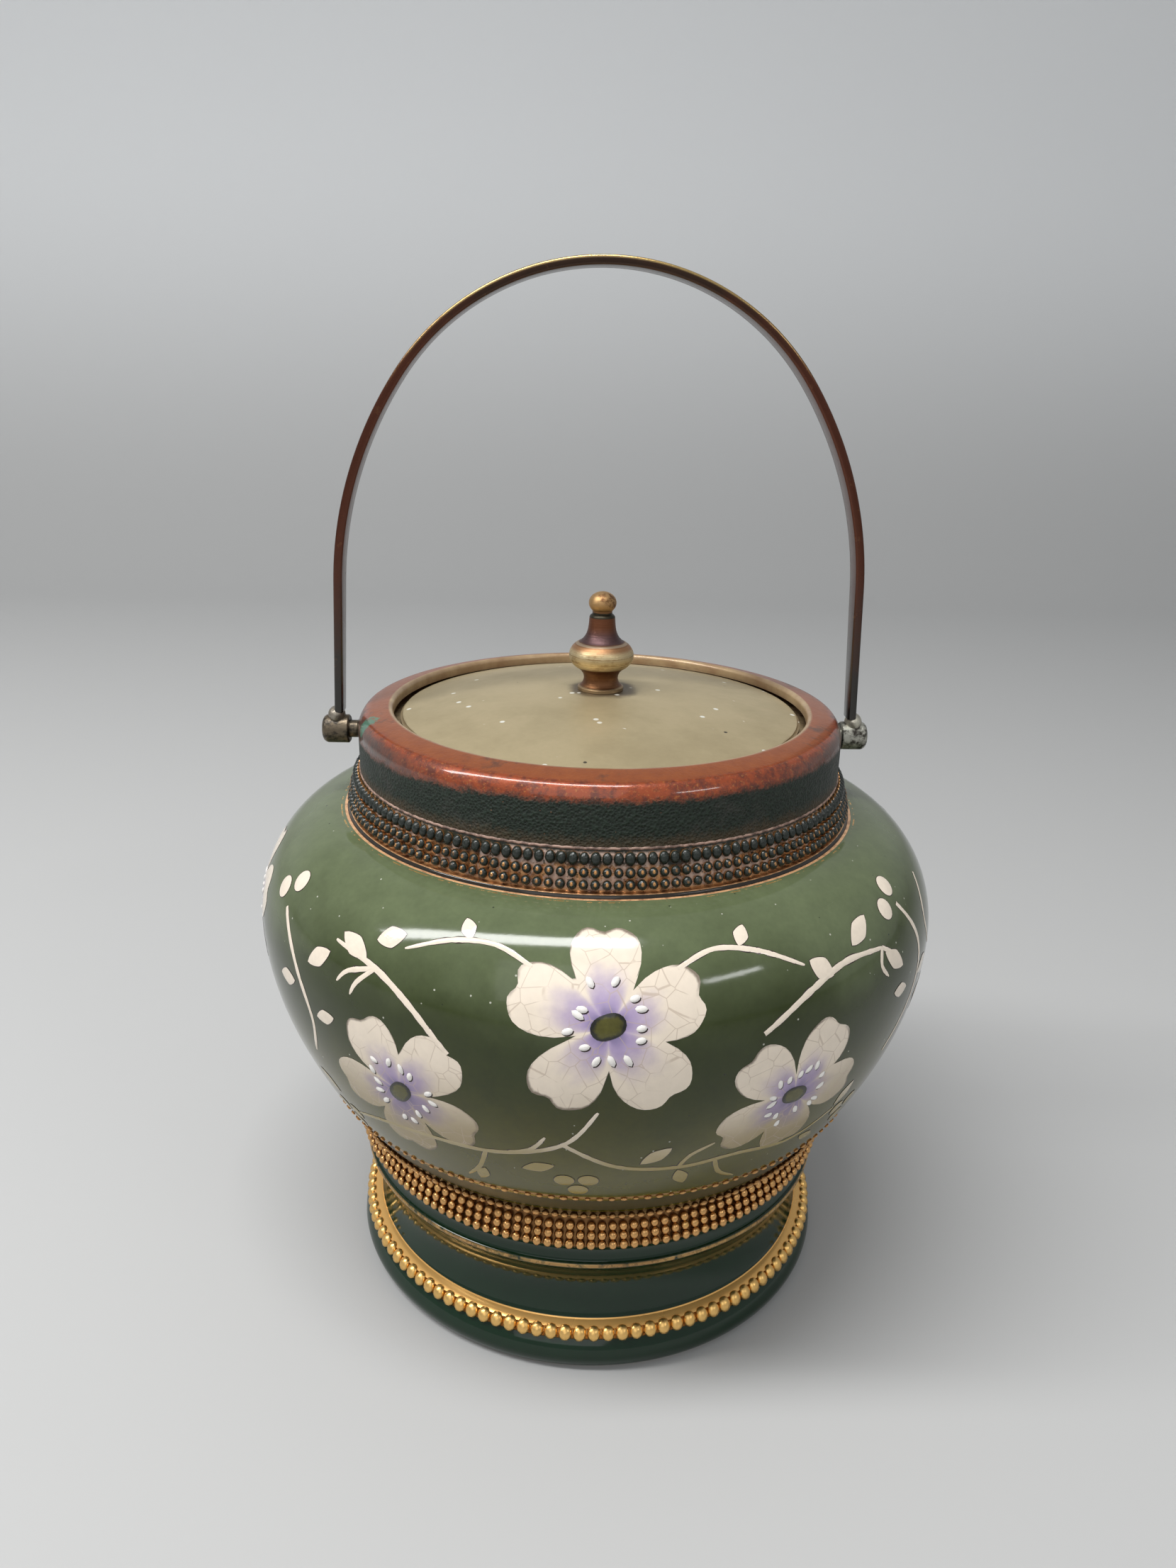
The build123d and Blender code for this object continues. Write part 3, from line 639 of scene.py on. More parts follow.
def glaze_finish(pot):
    """Glossy green glaze, dark at the foot, with gilt lines and bands."""
    c, f, at = shades(), Finish("Green Glaze"), levels(pot)
    pale_speck, dark_speck = (0.5, 0.5, 0.42), (0.01, 0.012, 0.008)
    level = f.z + f.sway(26, 26, 4)
    green = f.mix(c.green, c.sage, f.ease(level, 100, 122))
    green = f.mix(c.olive, green, f.ease(level, 62, 100))
    green = f.mix(c.bottle, green, f.ease(f.z, 34, 46))
    green = f.scaled(green, 0.64 + 0.46 * f.noise(5, 5, 0.6) + 0.24 * f.noise(1.1, 4, 0.6))
    green = f.mix(green, pale_speck, f.specks(3.2, 0.08, 9, 0.52) * f.ease(f.z, 50, 58) * 0.8)
    green = f.mix(green, dark_speck, f.specks(4.1, 0.07, 11, 0.52) * 0.7)

    outside, on_neck = f.radius > 56, f.z > at.neck_line - 1.3
    past_neck = f.radius - pot.neck_low_radius
    gilt_in = pot.foot_radius - pot.band_width
    worn, rubbed = f.noise(2.2, 4, 0.65), f.noise(7, 4, 0.6)
    ridges = (f.band(past_neck, 0.2, 0.8, 0.12) + f.band(past_neck, 1.4, 2.0, 0.12)) * on_neck
    creases = f.band(past_neck, 0.9, 1.3, 0.1) * on_neck
    dashes = f.band(past_neck, 2.7, 2.9, 0.1) * on_neck * f.ease(worn, 0.5, 0.58)
    drops = f.band(f.z, at.waist + 14.0, at.waist + 14.7, 0.25) * f.ease(worn, 0.3, 0.5)
    waist = f.band(f.z, at.band - 0.2, at.waist, 0.3)
    thin = f.band(f.z, at.waist + 1.6, at.waist + 2.1, 0.2) * 0.8
    line = f.band(f.z, at.scotia_top + 0.65, at.scotia_top + 1.1, 0.3) * f.ease(worn, 0.30, 0.56) * 0.8
    foot = f.band(f.z, pot.rim_height + 0.1, pot.foot_height + 0.2, 0.12)
    foot = foot * f.ease(f.radius, gilt_in - 0.7, gilt_in - 0.2)
    gilding = (drops + waist + thin + line + foot + dashes).clamped() * outside
    gold = f.coats(
        f.mix(c.worn_gilt, c.gilt, f.ease(rubbed, 0.35, 0.6)),
        ((0.92, 0.53, 0.17), foot),
        ((0.26, 0.13, 0.048), waist),
        ((0.40, 0.22, 0.09), (line + drops).clamped() * 0.8),
    )
    dull = f.band(f.z, at.waist + 0.3, at.waist + 6.2, 0.5) * outside
    # A darker band of glaze between the seed beads and the drop beads: painted shade of a groove that the
    # section does not have.
    hollow = f.band(f.z, at.waist + 7.4, at.waist + 12.6, 0.9) * outside
    # The brown band under the seed beads, and the painted groove shade above it.
    green = f.coats(green, ((0.11, 0.062, 0.022), dull * 0.85), ((0.018, 0.016, 0.002), hollow * 0.8))

    neck = f.band(f.z, at.neck, at.neck_top + 0.15, 0.1) * (f.radius > 57)
    copper = f.mix((0.16, 0.07, 0.035), (0.66, 0.34, 0.14), f.ease(worn, 0.35, 0.60))
    upper = f.ease(f.z + (rubbed - 0.5) * 3, at.neck + 4.6, at.neck + 6.0)
    front = f.ease(abs(f.math("ARCTAN2", f.y, f.x) + math.radians(84)), 1.5, 0.2)
    patchy = f.noise(5, 4, 0.7) + f.sway(0.3, 0.9, 3, 0.6) + front * 0.11
    residue = f.ease(patchy, 0.56, 0.66) * f.band(f.z, at.neck + 1.0, at.neck + 7.8, 0.8)
    cement = f.mix((0.56, 0.36, 0.27), (0.70, 0.62, 0.56), f.noise(1.6, 3))
    pits = f.patches(0.60, 0.66, 0.7, 3, 0.6)
    band_shade = f.coats(
        copper, ((0.022, 0.026, 0.018), upper), (cement, residue * 0.75), ((0.012, 0.012, 0.010), pits * 0.8)
    )
    bare = residue * neck
    metal = (gilding + ridges * 0.4 + neck * (1 - upper) * (1 - bare) * 0.5 - foot * 0.35).clamped()

    bisque = f.ease(f.z, 0.35, 0.1)
    ridge_shade = f.mix((0.82, 0.47, 0.24), (0.34, 0.17, 0.09), f.ease(worn, 0.42, 0.72))
    crease_shade, bisque_shade = (0.02, 0.016, 0.012), (0.52, 0.42, 0.30)
    shade = f.coats(green, (gold, gilding), (ridge_shade, ridges), (crease_shade, creases))
    roughness = 0.07 + 0.06 * f.noise(18, 3) + metal * 0.26
    return f.surface(
        base_color=f.coats(shade, (band_shade, neck), (bisque_shade, bisque)),
        metallic=metal * (1 - bisque) * 0.9,
        roughness=roughness + bisque * 0.5 + bare * 0.5 + (dull + hollow) * 0.25,
        ior=1.45,
        normal=f.bump(f.noise(3.5, 2) + 0.4 * f.noise(0.9, 2) + ridges * 12, 0.012),
    )


def gilt_bead_finish():
    """Gilding that is bright on the crown of each bead and dark brown towards its roots as painted shade; on
    the foot the roots stay gold.
    """
    c, f = shades(), Finish("Gilt Beads")
    out, _, _ = f.bead_place()
    on_foot = f.z < 20
    gold = f.mix(c.worn_gilt, c.gilt, f.ease(f.noise(6, 4, 0.6) + on_foot * 0.5, 0.56, 0.74))
    # The root colour is painted shade between the beads: dark brown, except on the foot, where it is gold.
    root = f.mix((0.16, 0.075, 0.028), (0.88, 0.54, 0.18), on_foot)
    return f.surface(
        # From the painted shade at the root out to the gilding on the crown.
        base_color=f.mix(root, gold, 0.15 + f.ease(out, 0.0, 0.75) * 0.85),
        metallic=1.0,
        roughness=0.22 + 0.14 * f.noise(3, 3) + on_foot * 0.05,
        normal=f.bump(f.noise(0.5, 2), 0.05),
    )


def crown_bead_finish(neck_level):
    """Dark glazed crowns with copper showing through on the lower rows."""
    f = Finish("Neck Crowns")
    out, _, up = f.bead_place()
    low_row = f.ease(f.z, neck_level + 6.4, neck_level + 5.0)
    dot = f.ease(out + up * 0.2, 0.86, 0.97) * low_row * f.patches(0.36, 0.5, 4, 3)
    skirt = f.ease(out, 0.25, 0.0)
    copper = f.mix((0.42, 0.17, 0.05), (0.66, 0.36, 0.14), f.noise(3, 3))
    return f.surface(
        base_color=f.mix((0.012, 0.016, 0.012), copper, (dot + skirt * 0.8).clamped()),
        metallic=(dot + skirt).clamped() * 0.8,
        roughness=0.16 + 0.2 * f.noise(2, 3),
        normal=f.bump(f.noise(0.6, 3), 0.12),
    )


def petal_finish():
    """Cream petals that turn violet towards the heart and buff low on the pot, under crackled glaze."""
    c, f = shades(), Finish("Painted Petals")
    reach, streak = f.reach(), f.noise(2.4, 4, 0.6)
    low = f.ease(f.z + f.sway(12, 16, 2), 95, 70)
    heart = f.mix(c.violet, (0.12, 0.09, 0.11), low * 0.7)
    blush = f.ease(reach + f.sway(0.28, 7, 3) + (streak - 0.5) * 0.1, 0.72, 0.22)
    shade = f.mix(c.cream, c.buff, low * 0.92)
    shade = f.coats(shade, (heart, blush * 0.9), ((0.10, 0.085, 0.20), f.ease(reach, 0.27, 0.12) * 0.55))
    crackle = f.ease(f.cells(4.2, "DISTANCE_TO_EDGE"), 0.028, 0.008) * f.patches(0.36, 0.50, 7, 3)
    outline = f.ease(reach + f.sway(0.05, 2.4, 3), 0.955, 0.99) * f.patches(0.42, 0.55, 13, 3)
    shade = f.scaled(shade, 0.9 + 0.16 * streak)
    return f.surface(
        base_color=f.coats(shade, ((0.46, 0.36, 0.28), crackle * 0.6), ((0.09, 0.06, 0.035), outline * 0.8)),
        roughness=0.09 + 0.05 * f.noise(12, 2),
        ior=1.5,
        normal=f.bump(f.noise(3.5, 2), 0.012),
    )


def sprig_finish():
    """Cream brush strokes for stems, leaves and berries, buff low on the pot."""
    c, f = shades(), Finish("Painted Sprigs")
    buff = f.mix(c.buff, (0.32, 0.25, 0.07), 0.6)
    shade = f.mix(c.cream, buff, f.ease(f.z + f.sway(10, 16, 2), 86, 68))
    shade = f.scaled(shade, 0.86 + 0.22 * f.noise(1.6, 4, 0.6))
    return f.surface(base_color=shade, roughness=0.12, ior=1.5, normal=f.bump(f.noise(0.8, 2), 0.05))


def outline_and_shadow_finish():
    """Dark brown-violet brush lines beside the strokes, and painted shadows beside the enamel dashes."""
    f = Finish("Dark Outlines")
    shade = f.mix((0.022, 0.014, 0.03), (0.06, 0.038, 0.02), f.noise(3, 3))
    return f.surface(base_color=shade, roughness=0.12, ior=1.43)


def enamel_finish():
    """Raised white enamel."""
    f = Finish("White Enamel")
    shade = f.scaled((0.80, 0.77, 0.73), 0.9 + 0.12 * f.noise(2, 2))
    return f.surface(base_color=shade, roughness=0.16, ior=1.5)


def eye_finish():
    """Olive heart of a blossom with a dark ragged edge."""
    c, f = shades(), Finish("Blossom Eye")
    shade = f.mix(c.eye, (0.012, 0.012, 0.010), f.ease(f.reach() + f.sway(0.5, 1.4, 3), 0.6, 0.9))
    return f.surface(base_color=f.scaled(shade, 0.7 + 0.7 * f.noise(1.1, 3)), roughness=0.12, ior=1.5)


def collar_finish(collar):
    """Plate worn to red copper over the roll, green-black down the side, brass inside the lip, and painted
    shade at the roll's left and right ends.
    """
    c, f = shades(), Finish("Tarnished Collar")
    wall, roll_low = collar.radius, COLLAR_LOW.z + collar.wall_height
    ragged = f.sway(2.6, 5, 5, 0.7) + f.sway(3.0, 0.8, 4, 0.7)
    pebble = f.cells(0.6)
    low_side = f.ease(f.z + ragged * 1.6, COLLAR_LOW.z + 3.5, COLLAR_LOW.z + 0.1)
    side = f.coats(
        f.scaled(c.collar_dark, 0.4 + 1.6 * pebble),
        ((0.035, 0.034, 0.028), f.patches(0.5, 0.8, 9, 5, 0.65)),
        ((0.085, 0.05, 0.022), low_side * 0.5),
        ((0.25, 0.12, 0.06), f.specks(1.6, 0.12, 6) * 0.5),
    )
    red = f.coats(
        c.collar_copper,
        ((0.11, 0.022, 0.010), f.patches(0.40, 0.64, 2.6, 5, 0.75)),
        ((0.46, 0.20, 0.05), f.patches(0.56, 0.70, 0.6, 3, 0.6) * 0.4),
    )
    brown = f.mix((0.33, 0.092, 0.020), (0.165, 0.038, 0.012), f.noise(3, 5, 0.7))
    brown = f.mix(brown, (0.05, 0.03, 0.022), f.patches(0.56, 0.70, 11, 5, 0.7) * 0.7)
    inside = f.mix(c.brass, c.brown_brass, f.noise(6, 4))

    on_roll = f.ease(f.z + ragged + f.ease(f.x, -18, -56) * 1.6, roll_low - 0.8, roll_low + 1.2)
    on_slope = f.ease(f.radius + ragged * 0.7, wall - 1.8, wall - 3.4) * (f.z > roll_low + 1.4)
    on_lip = f.ease(f.radius, collar.lip_radius + 1.4, collar.lip_radius + 0.8)
    # Darker towards the roll's outer edge at its left and right ends: painted shade where the roll turns away
    # from the front.
    roll_end_shade = f.ease(f.radius + ragged * 0.6, wall - 1.8, wall - 0.6) * f.ease(abs(f.x), 34, 52)
    bloom_distance = f.distance(f.place, (-54.8, -16.5, 147.0))
    bloom = f.ease(bloom_distance + f.sway(7, 1.8, 4, 0.7), 3.0, 2.2)
    shade = f.coats(
        side,
        (red, on_roll),
        (brown, on_slope),
        # Painted shade at the roll's left and right ends.
        ((0.045, 0.035, 0.028), roll_end_shade * on_roll * 0.75),
        (inside, on_lip * 0.85),
        ((0.04, 0.22, 0.15), bloom * 0.75),
        ((0.7, 0.68, 0.6), f.specks(3.3, 0.05, 7) * 0.8),
    )
    return f.surface(
        base_color=shade,
        metallic=on_roll * 0.3,
        roughness=0.46 - 0.14 * on_roll + 0.12 * f.noise(2, 3),
        specular_ior_level=0.35,
        coat_weight=on_roll * (0.7 - 0.35 * on_slope),
        coat_roughness=0.08,
        normal=f.bump(pebble * (1 - on_roll) + 0.2 * f.noise(0.7, 3) * on_roll, 0.30),
    )


def lid_finish(lid):
    """Satin khaki plate with fine turning marks, small stains and a painted shadow round the knob."""
    c, f = shades(), Finish("Dulled Lid")
    cloud = f.noise(22, 4, 0.6)
    shade = f.mix(c.khaki, (0.38, 0.31, 0.18), f.ease(cloud, 0.35, 0.75))
    # A dark ring round the knob's foot that reaches further to the right: a painted shadow of the knob.
    knob_shadow = f.ease(f.radius + f.sway(4, 5, 3) - f.ease(f.x, 0, 9) * 1.5, 9.0, 6.0)
    rim = f.ease(f.radius + f.sway(1.5, 4, 4), lid.radius - 1.0, lid.radius - 0.1)
    shade = f.coats(
        f.scaled(shade, 0.93 + 0.14 * f.noise(1.2, 4, 0.7)),
        # The painted shadow round the knob.
        ((0.07, 0.045, 0.025), knob_shadow * 0.8),
        ((0.20, 0.13, 0.07), rim * 0.5),
        ((0.85, 0.83, 0.74), f.specks(6.0, 0.13, 10, 0.5)),
        ((0.05, 0.04, 0.03), f.specks(7.0, 0.08, 12, 0.55)),
    )
    return f.surface(
        base_color=shade,
        metallic=0.55,
        roughness=0.38 + 0.14 * cloud,
        normal=f.bump(f.turning_marks(f.radius, 2.2, 3.0) + 0.6 * f.noise(0.8, 3), 0.012),
    )


def knob_finish():
    """Turned brass, bright on the ring and brown elsewhere."""
    c, f = shades(), Finish("Turned Knob")
    up = f.z - corners("knob_foot")[0].z
    tarnish, turned = f.noise(3.0, 5, 0.7), f.turning_marks(f.z, 3.2, 4.0, 0.7)
    bell = f.mix((0.085, 0.05, 0.055), (0.16, 0.06, 0.03), f.ease(up, 13, 16))
    brass = f.mix(c.brass, (0.34, 0.23, 0.11), f.ease(tarnish + (turned - 0.5) * 1.2, 0.50, 0.72))
    brass = f.mix(brass, (0.30, 0.12, 0.045), f.ease(up, 9.6, 10.8) * 0.8)
    ball = f.mix((0.44, 0.27, 0.12), (0.14, 0.06, 0.025), f.ease(tarnish, 0.48, 0.66))
    shade = f.coats(
        c.brown_brass,
        ((0.26, 0.13, 0.055), f.ease(tarnish, 0.45, 0.7)),
        (bell, f.band(up, 12.0, 17.8, 0.3) * 0.9),
        (brass, f.band(up, 6.0, 11.0, 0.5)),
        ((0.42, 0.32, 0.22), f.band(up, 11.4, 11.7, 0.1) * 0.8),
        (ball, f.ease(up, 18.9, 20.0)),
        ((0.025, 0.03, 0.022), f.band(up, 17.9, 18.9, 0.2) * 0.9),
        (c.brass, f.band(up, 0.1, 0.9, 0.2) * 0.4),
    )
    return f.surface(
        base_color=f.scaled(shade, 0.75 + 0.5 * turned),
        metallic=0.88,
        roughness=0.34 + 0.18 * tarnish,
        normal=f.bump(turned + 0.2 * f.noise(0.7, 3), 0.06),
    )


def handle_finish(crown_radius):
    """Red-brown tarnish on the strip, grey at its ends, and a golden painted highlight along the crown's
    edges.
    """
    c, f = shades(), Finish("Tarnished Handle")
    rise = f.z - PIVOT_LEVEL
    drift = f.noise(7, 5, 0.65) - 0.5
    shade = f.mix(c.handle_brown, (0.042, 0.019, 0.009), f.ease(rise + drift * 30, 84, 106))
    shade = f.mix((0.036, 0.034, 0.030), shade, f.ease(rise + drift * 26, 10, 46))
    crown_middle = (HANDLE_SHIFT, 0.0, HANDLE_HIGH.z - crown_radius)
    reach = f.distance(f.join(f.x, 0.0, f.z), crown_middle)
    # A thin golden line along the crown's long edges: a painted highlight where the rounded edges catch the
    # light from above.
    edge = f.ease(abs(f.y) - 0.024 * rise, 1.7, 2.2) * f.ease(reach, crown_radius - 0.75, crown_radius - 0.3)
    shade = f.coats(
        shade,
        ((0.26, 0.13, 0.05), f.patches(0.60, 0.8, 3, 4, 0.7) * 0.45),
        # The golden painted highlight along the crown's edges.
        ((0.75, 0.52, 0.20), edge * f.ease(rise + drift * 24, 80, 106) * 0.6),
    )
    return f.surface(
        base_color=shade,
        metallic=0.85,
        roughness=0.17 + 0.16 * f.noise(3, 4),
        coat_weight=0.4,
        coat_roughness=0.08,
        normal=f.bump(f.noise(1.1, 4, 0.7), 0.04),
    )


def boss_finish():
    """Dull grey tarnish, paler on the right as painted light."""
    c, f = shades(), Finish("Tarnished Bosses")
    # The right-hand boss is made paler: painted light on that side.
    shade = f.mix(c.pewter, (0.46, 0.46, 0.40), f.ease(f.x, 0, 40) * 0.8)
    shade = f.mix(shade, (0.035, 0.03, 0.024), f.patches(0.42, 0.62, 2.2, 4, 0.65))
    normal = f.bump(f.noise(0.7, 4, 0.65), 0.06)
    return f.surface(base_color=shade, metallic=0.8, roughness=0.27 + 0.2 * f.noise(1.6, 3), normal=normal)


def solder_finish():
    """Rough bright solder, brighter on the right as painted light."""
    f = Finish("Solder")
    # The right-hand solder is made brighter: painted light on that side.
    shade = f.mix((0.36, 0.33, 0.27), (0.72, 0.70, 0.58), f.ease(f.x, 0, 40))
    shade = f.mix(shade, (0.16, 0.13, 0.10), f.noise(1.2, 4, 0.65))
    return f.surface(base_color=shade, metallic=0.8, roughness=0.4, normal=f.bump(f.noise(0.8, 4), 0.15))


def plain_brass_finish():
    """Turned brass of the lid seat, skirt, stud, washer and nut."""
    c, f = shades(), Finish("Plain Brass")
    shade = f.mix(c.brass, c.brown_brass, f.patches(0.4, 0.75, 2.5, 4, 0.6))
    normal = f.bump(f.noise(0.5, 2), 0.03)
    return f.surface(base_color=shade, metallic=0.95, roughness=0.3 + 0.15 * f.noise(1.5, 3), normal=normal)


def cement_finish():
    """Pinkish brown cement that squeezed out under the collar."""
    f = Finish("Cement Line")
    shade = f.mix((0.34, 0.22, 0.17), (0.10, 0.06, 0.045), f.patches(0.4, 0.62, 2.2, 4, 0.65))
    return f.surface(base_color=shade, roughness=0.6, normal=f.bump(f.noise(0.5, 3), 0.1))


def plaster_finish():
    """Matt off-white plaster."""
    c, f = shades(), Finish("Plaster Bed")
    shade = f.scaled(c.plaster, 0.8 + 0.3 * f.noise(1.8, 5, 0.65))
    return f.surface(base_color=shade, roughness=0.9, normal=f.bump(f.noise(0.7, 4), 0.15))


def floor_finish():
    """Matt pale paint that lightens up the backdrop."""
    f = Finish("Pale Floor")
    shade = f.mix((0.46, 0.46, 0.455), (0.82, 0.83, 0.835), f.ease(f.z, 10, 520))
    return f.surface(base_color=shade, roughness=0.75, specular_ior_level=0.15)


# ---- Beads ----


def bead_tree():
    """Geometry Nodes tree that sets rows of beads round the axis on a band that draws in."""
    sockets = {
        "Rows": "Int",
        "Count": "Int",
        "Radius": "Float",
        "Height": "Float",
        "Radius Step": "Float",
        "Height Step": "Float",
        "Lean": "Float",
        "Size": "Vector",
        "Spread": "Float",
        "Seed": "Int",
        "Finish": "Material",
    }
    tree = bpy.data.node_groups.new("Bead Rows", "GeometryNodeTree")
    tree.interface.new_socket(name="Beads", in_out="OUTPUT", socket_type="NodeSocketGeometry")
    for name, kind in sockets.items():
        tree.interface.new_socket(name=name, in_out="INPUT", socket_type="NodeSocket" + kind)
    g = Graph(tree)
    given = g.node("NodeGroupInput").socket.node
    value = {name: Signal(g, given.outputs[name]) for name in sockets}
    index = g.node("GeometryNodeInputIndex")
    count = value["Count"]
    row = g.math("FLOOR", index / count)
    turn = (index - row * count) * math.tau / count
    radius = value["Radius"] + row * value["Radius Step"]
    height = value["Height"] + row * value["Height Step"]
    at = g.join(radius * g.math("COSINE", turn), radius * g.math("SINE", turn), height)
    points = g.node("GeometryNodePoints", {}, {"Count": value["Rows"] * count, "Position": at})
    ball = g.node("GeometryNodeMeshUVSphere", {}, {"Segments": 10, "Rings": 6, "Radius": 1.0})
    ball = g.node("GeometryNodeSetShadeSmooth", {}, {"Geometry": ball})
    own_place = g.node("GeometryNodeInputPosition")
    mark = {"Geometry": ball, "Name": "bead", "Value": own_place}
    ball = g.node("GeometryNodeStoreNamedAttribute", {"data_type": "FLOAT_VECTOR", "domain": "POINT"}, mark)
    limits = {2: 1 - value["Spread"], 3: 1 + value["Spread"], "Seed": value["Seed"]}
    chance = g.node("FunctionNodeRandomValue", {"data_type": "FLOAT"}, limits, 1)
    placed = {
        "Points": points,
        "Instance": ball,
        "Rotation": g.join(0.0, -value["Lean"], turn),
        "Scale": g.scaled(value["Size"], chance),
    }
    beads = g.node("GeometryNodeInstanceOnPoints", {}, placed)
    beads = g.node("GeometryNodeRealizeInstances", {}, {"Geometry": beads})
    beads = g.node("GeometryNodeSetMaterial", {}, {"Geometry": beads, "Material": value["Finish"]})
    g.node("NodeGroupOutput", {}, {"Beads": beads})
    return tree


def bead_piece(tree, name, finish, seed, lean, count, spread, at, size, rows=1, step=(0.0, 0.0)):
    """Rows of beads: at and step are (radius, height), and size is half a bead's (depth, width, height)."""
    given = {
        "Rows": rows,
        "Count": count,
        "Radius": at[0] * MM,
        "Height": at[1] * MM,
        "Radius Step": step[0] * MM,
        "Height Step": step[1] * MM,
        "Lean": math.radians(lean),
        "Size": [part * MM for part in size],
        "Spread": spread,
        "Seed": seed,
        "Finish": finish,
    }
    maker = bpy.data.objects.new(name + "_maker", bpy.data.meshes.new(name + "_maker"))
    bpy.context.scene.collection.objects.link(maker)
    modifier = maker.modifiers.new("Beads", "NODES")
    modifier.node_group = tree
    for socket in tree.interface.items_tree:
        if socket.in_out == "INPUT":
            modifier[socket.identifier] = given[socket.name]
    bpy.context.view_layer.update()
    evaluated = maker.evaluated_get(bpy.context.evaluated_depsgraph_get())
    mesh = bpy.data.meshes.new_from_object(evaluated)
    mesh.name = name
    bpy.data.objects.remove(maker)
    stand(mesh, "jar", None, "glaze")


# ---- Painted flowers ----


class PotSide:
    """The belly's outer face, on which a painted shape is laid by its angle and its length up the side."""

    def __init__(self, outline):
        self.points = outline
        self.lengths = [0.0]
        for (r0, z0), (r1, z1) in zip(outline, outline[1:]):
            self.lengths.append(self.lengths[-1] + math.hypot(r1 - r0, z1 - z0))

    def length_at(self, level):
        """Length up the side at which a level is reached."""
        for index, (low, high) in enumerate(zip(self.points, self.points[1:])):
            if low[1] <= level <= high[1]:
                share = (level - low[1]) / (high[1] - low[1])
                return self.lengths[index] + share * (self.lengths[index + 1] - self.lengths[index])
        raise ValueError(f"the level {level} isn't on the pot's side")

    def section(self, reach):
        """Radius, level and outward direction at a length up the side."""
        reach = min(max(reach, 0.01), self.lengths[-1] - 0.01)
        index = bisect_right(self.lengths, reach) - 1
        (r0, z0), (r1, z1) = self.points[index], self.points[index + 1]
        span = self.lengths[index + 1] - self.lengths[index]
        share = (reach - self.lengths[index]) / span
        return r0 + (r1 - r0) * share, z0 + (z1 - z0) * share, (z1 - z0) / span, -(r1 - r0) / span

    def spot(self, angle, reach, lift):
        """Point over the side, lift millimetres off it, in metres."""
        radius, level, out, up = self.section(reach)
        radius += out * lift
        return Vector((radius * math.cos(angle), radius * math.sin(angle), level + up * lift)) * MM


def between(before, here, there, beyond, t):
    """Place at a share t of the way from here to there, on a smooth curve through all four."""
    return tuple(
        0.5 * (2 * b + (c - a) * t + (2 * a - 5 * b + 4 * c - d) * t**2 + (3 * b - a - 3 * c + d) * t**3)
        for a, b, c, d in zip(before, here, there, beyond)
    )


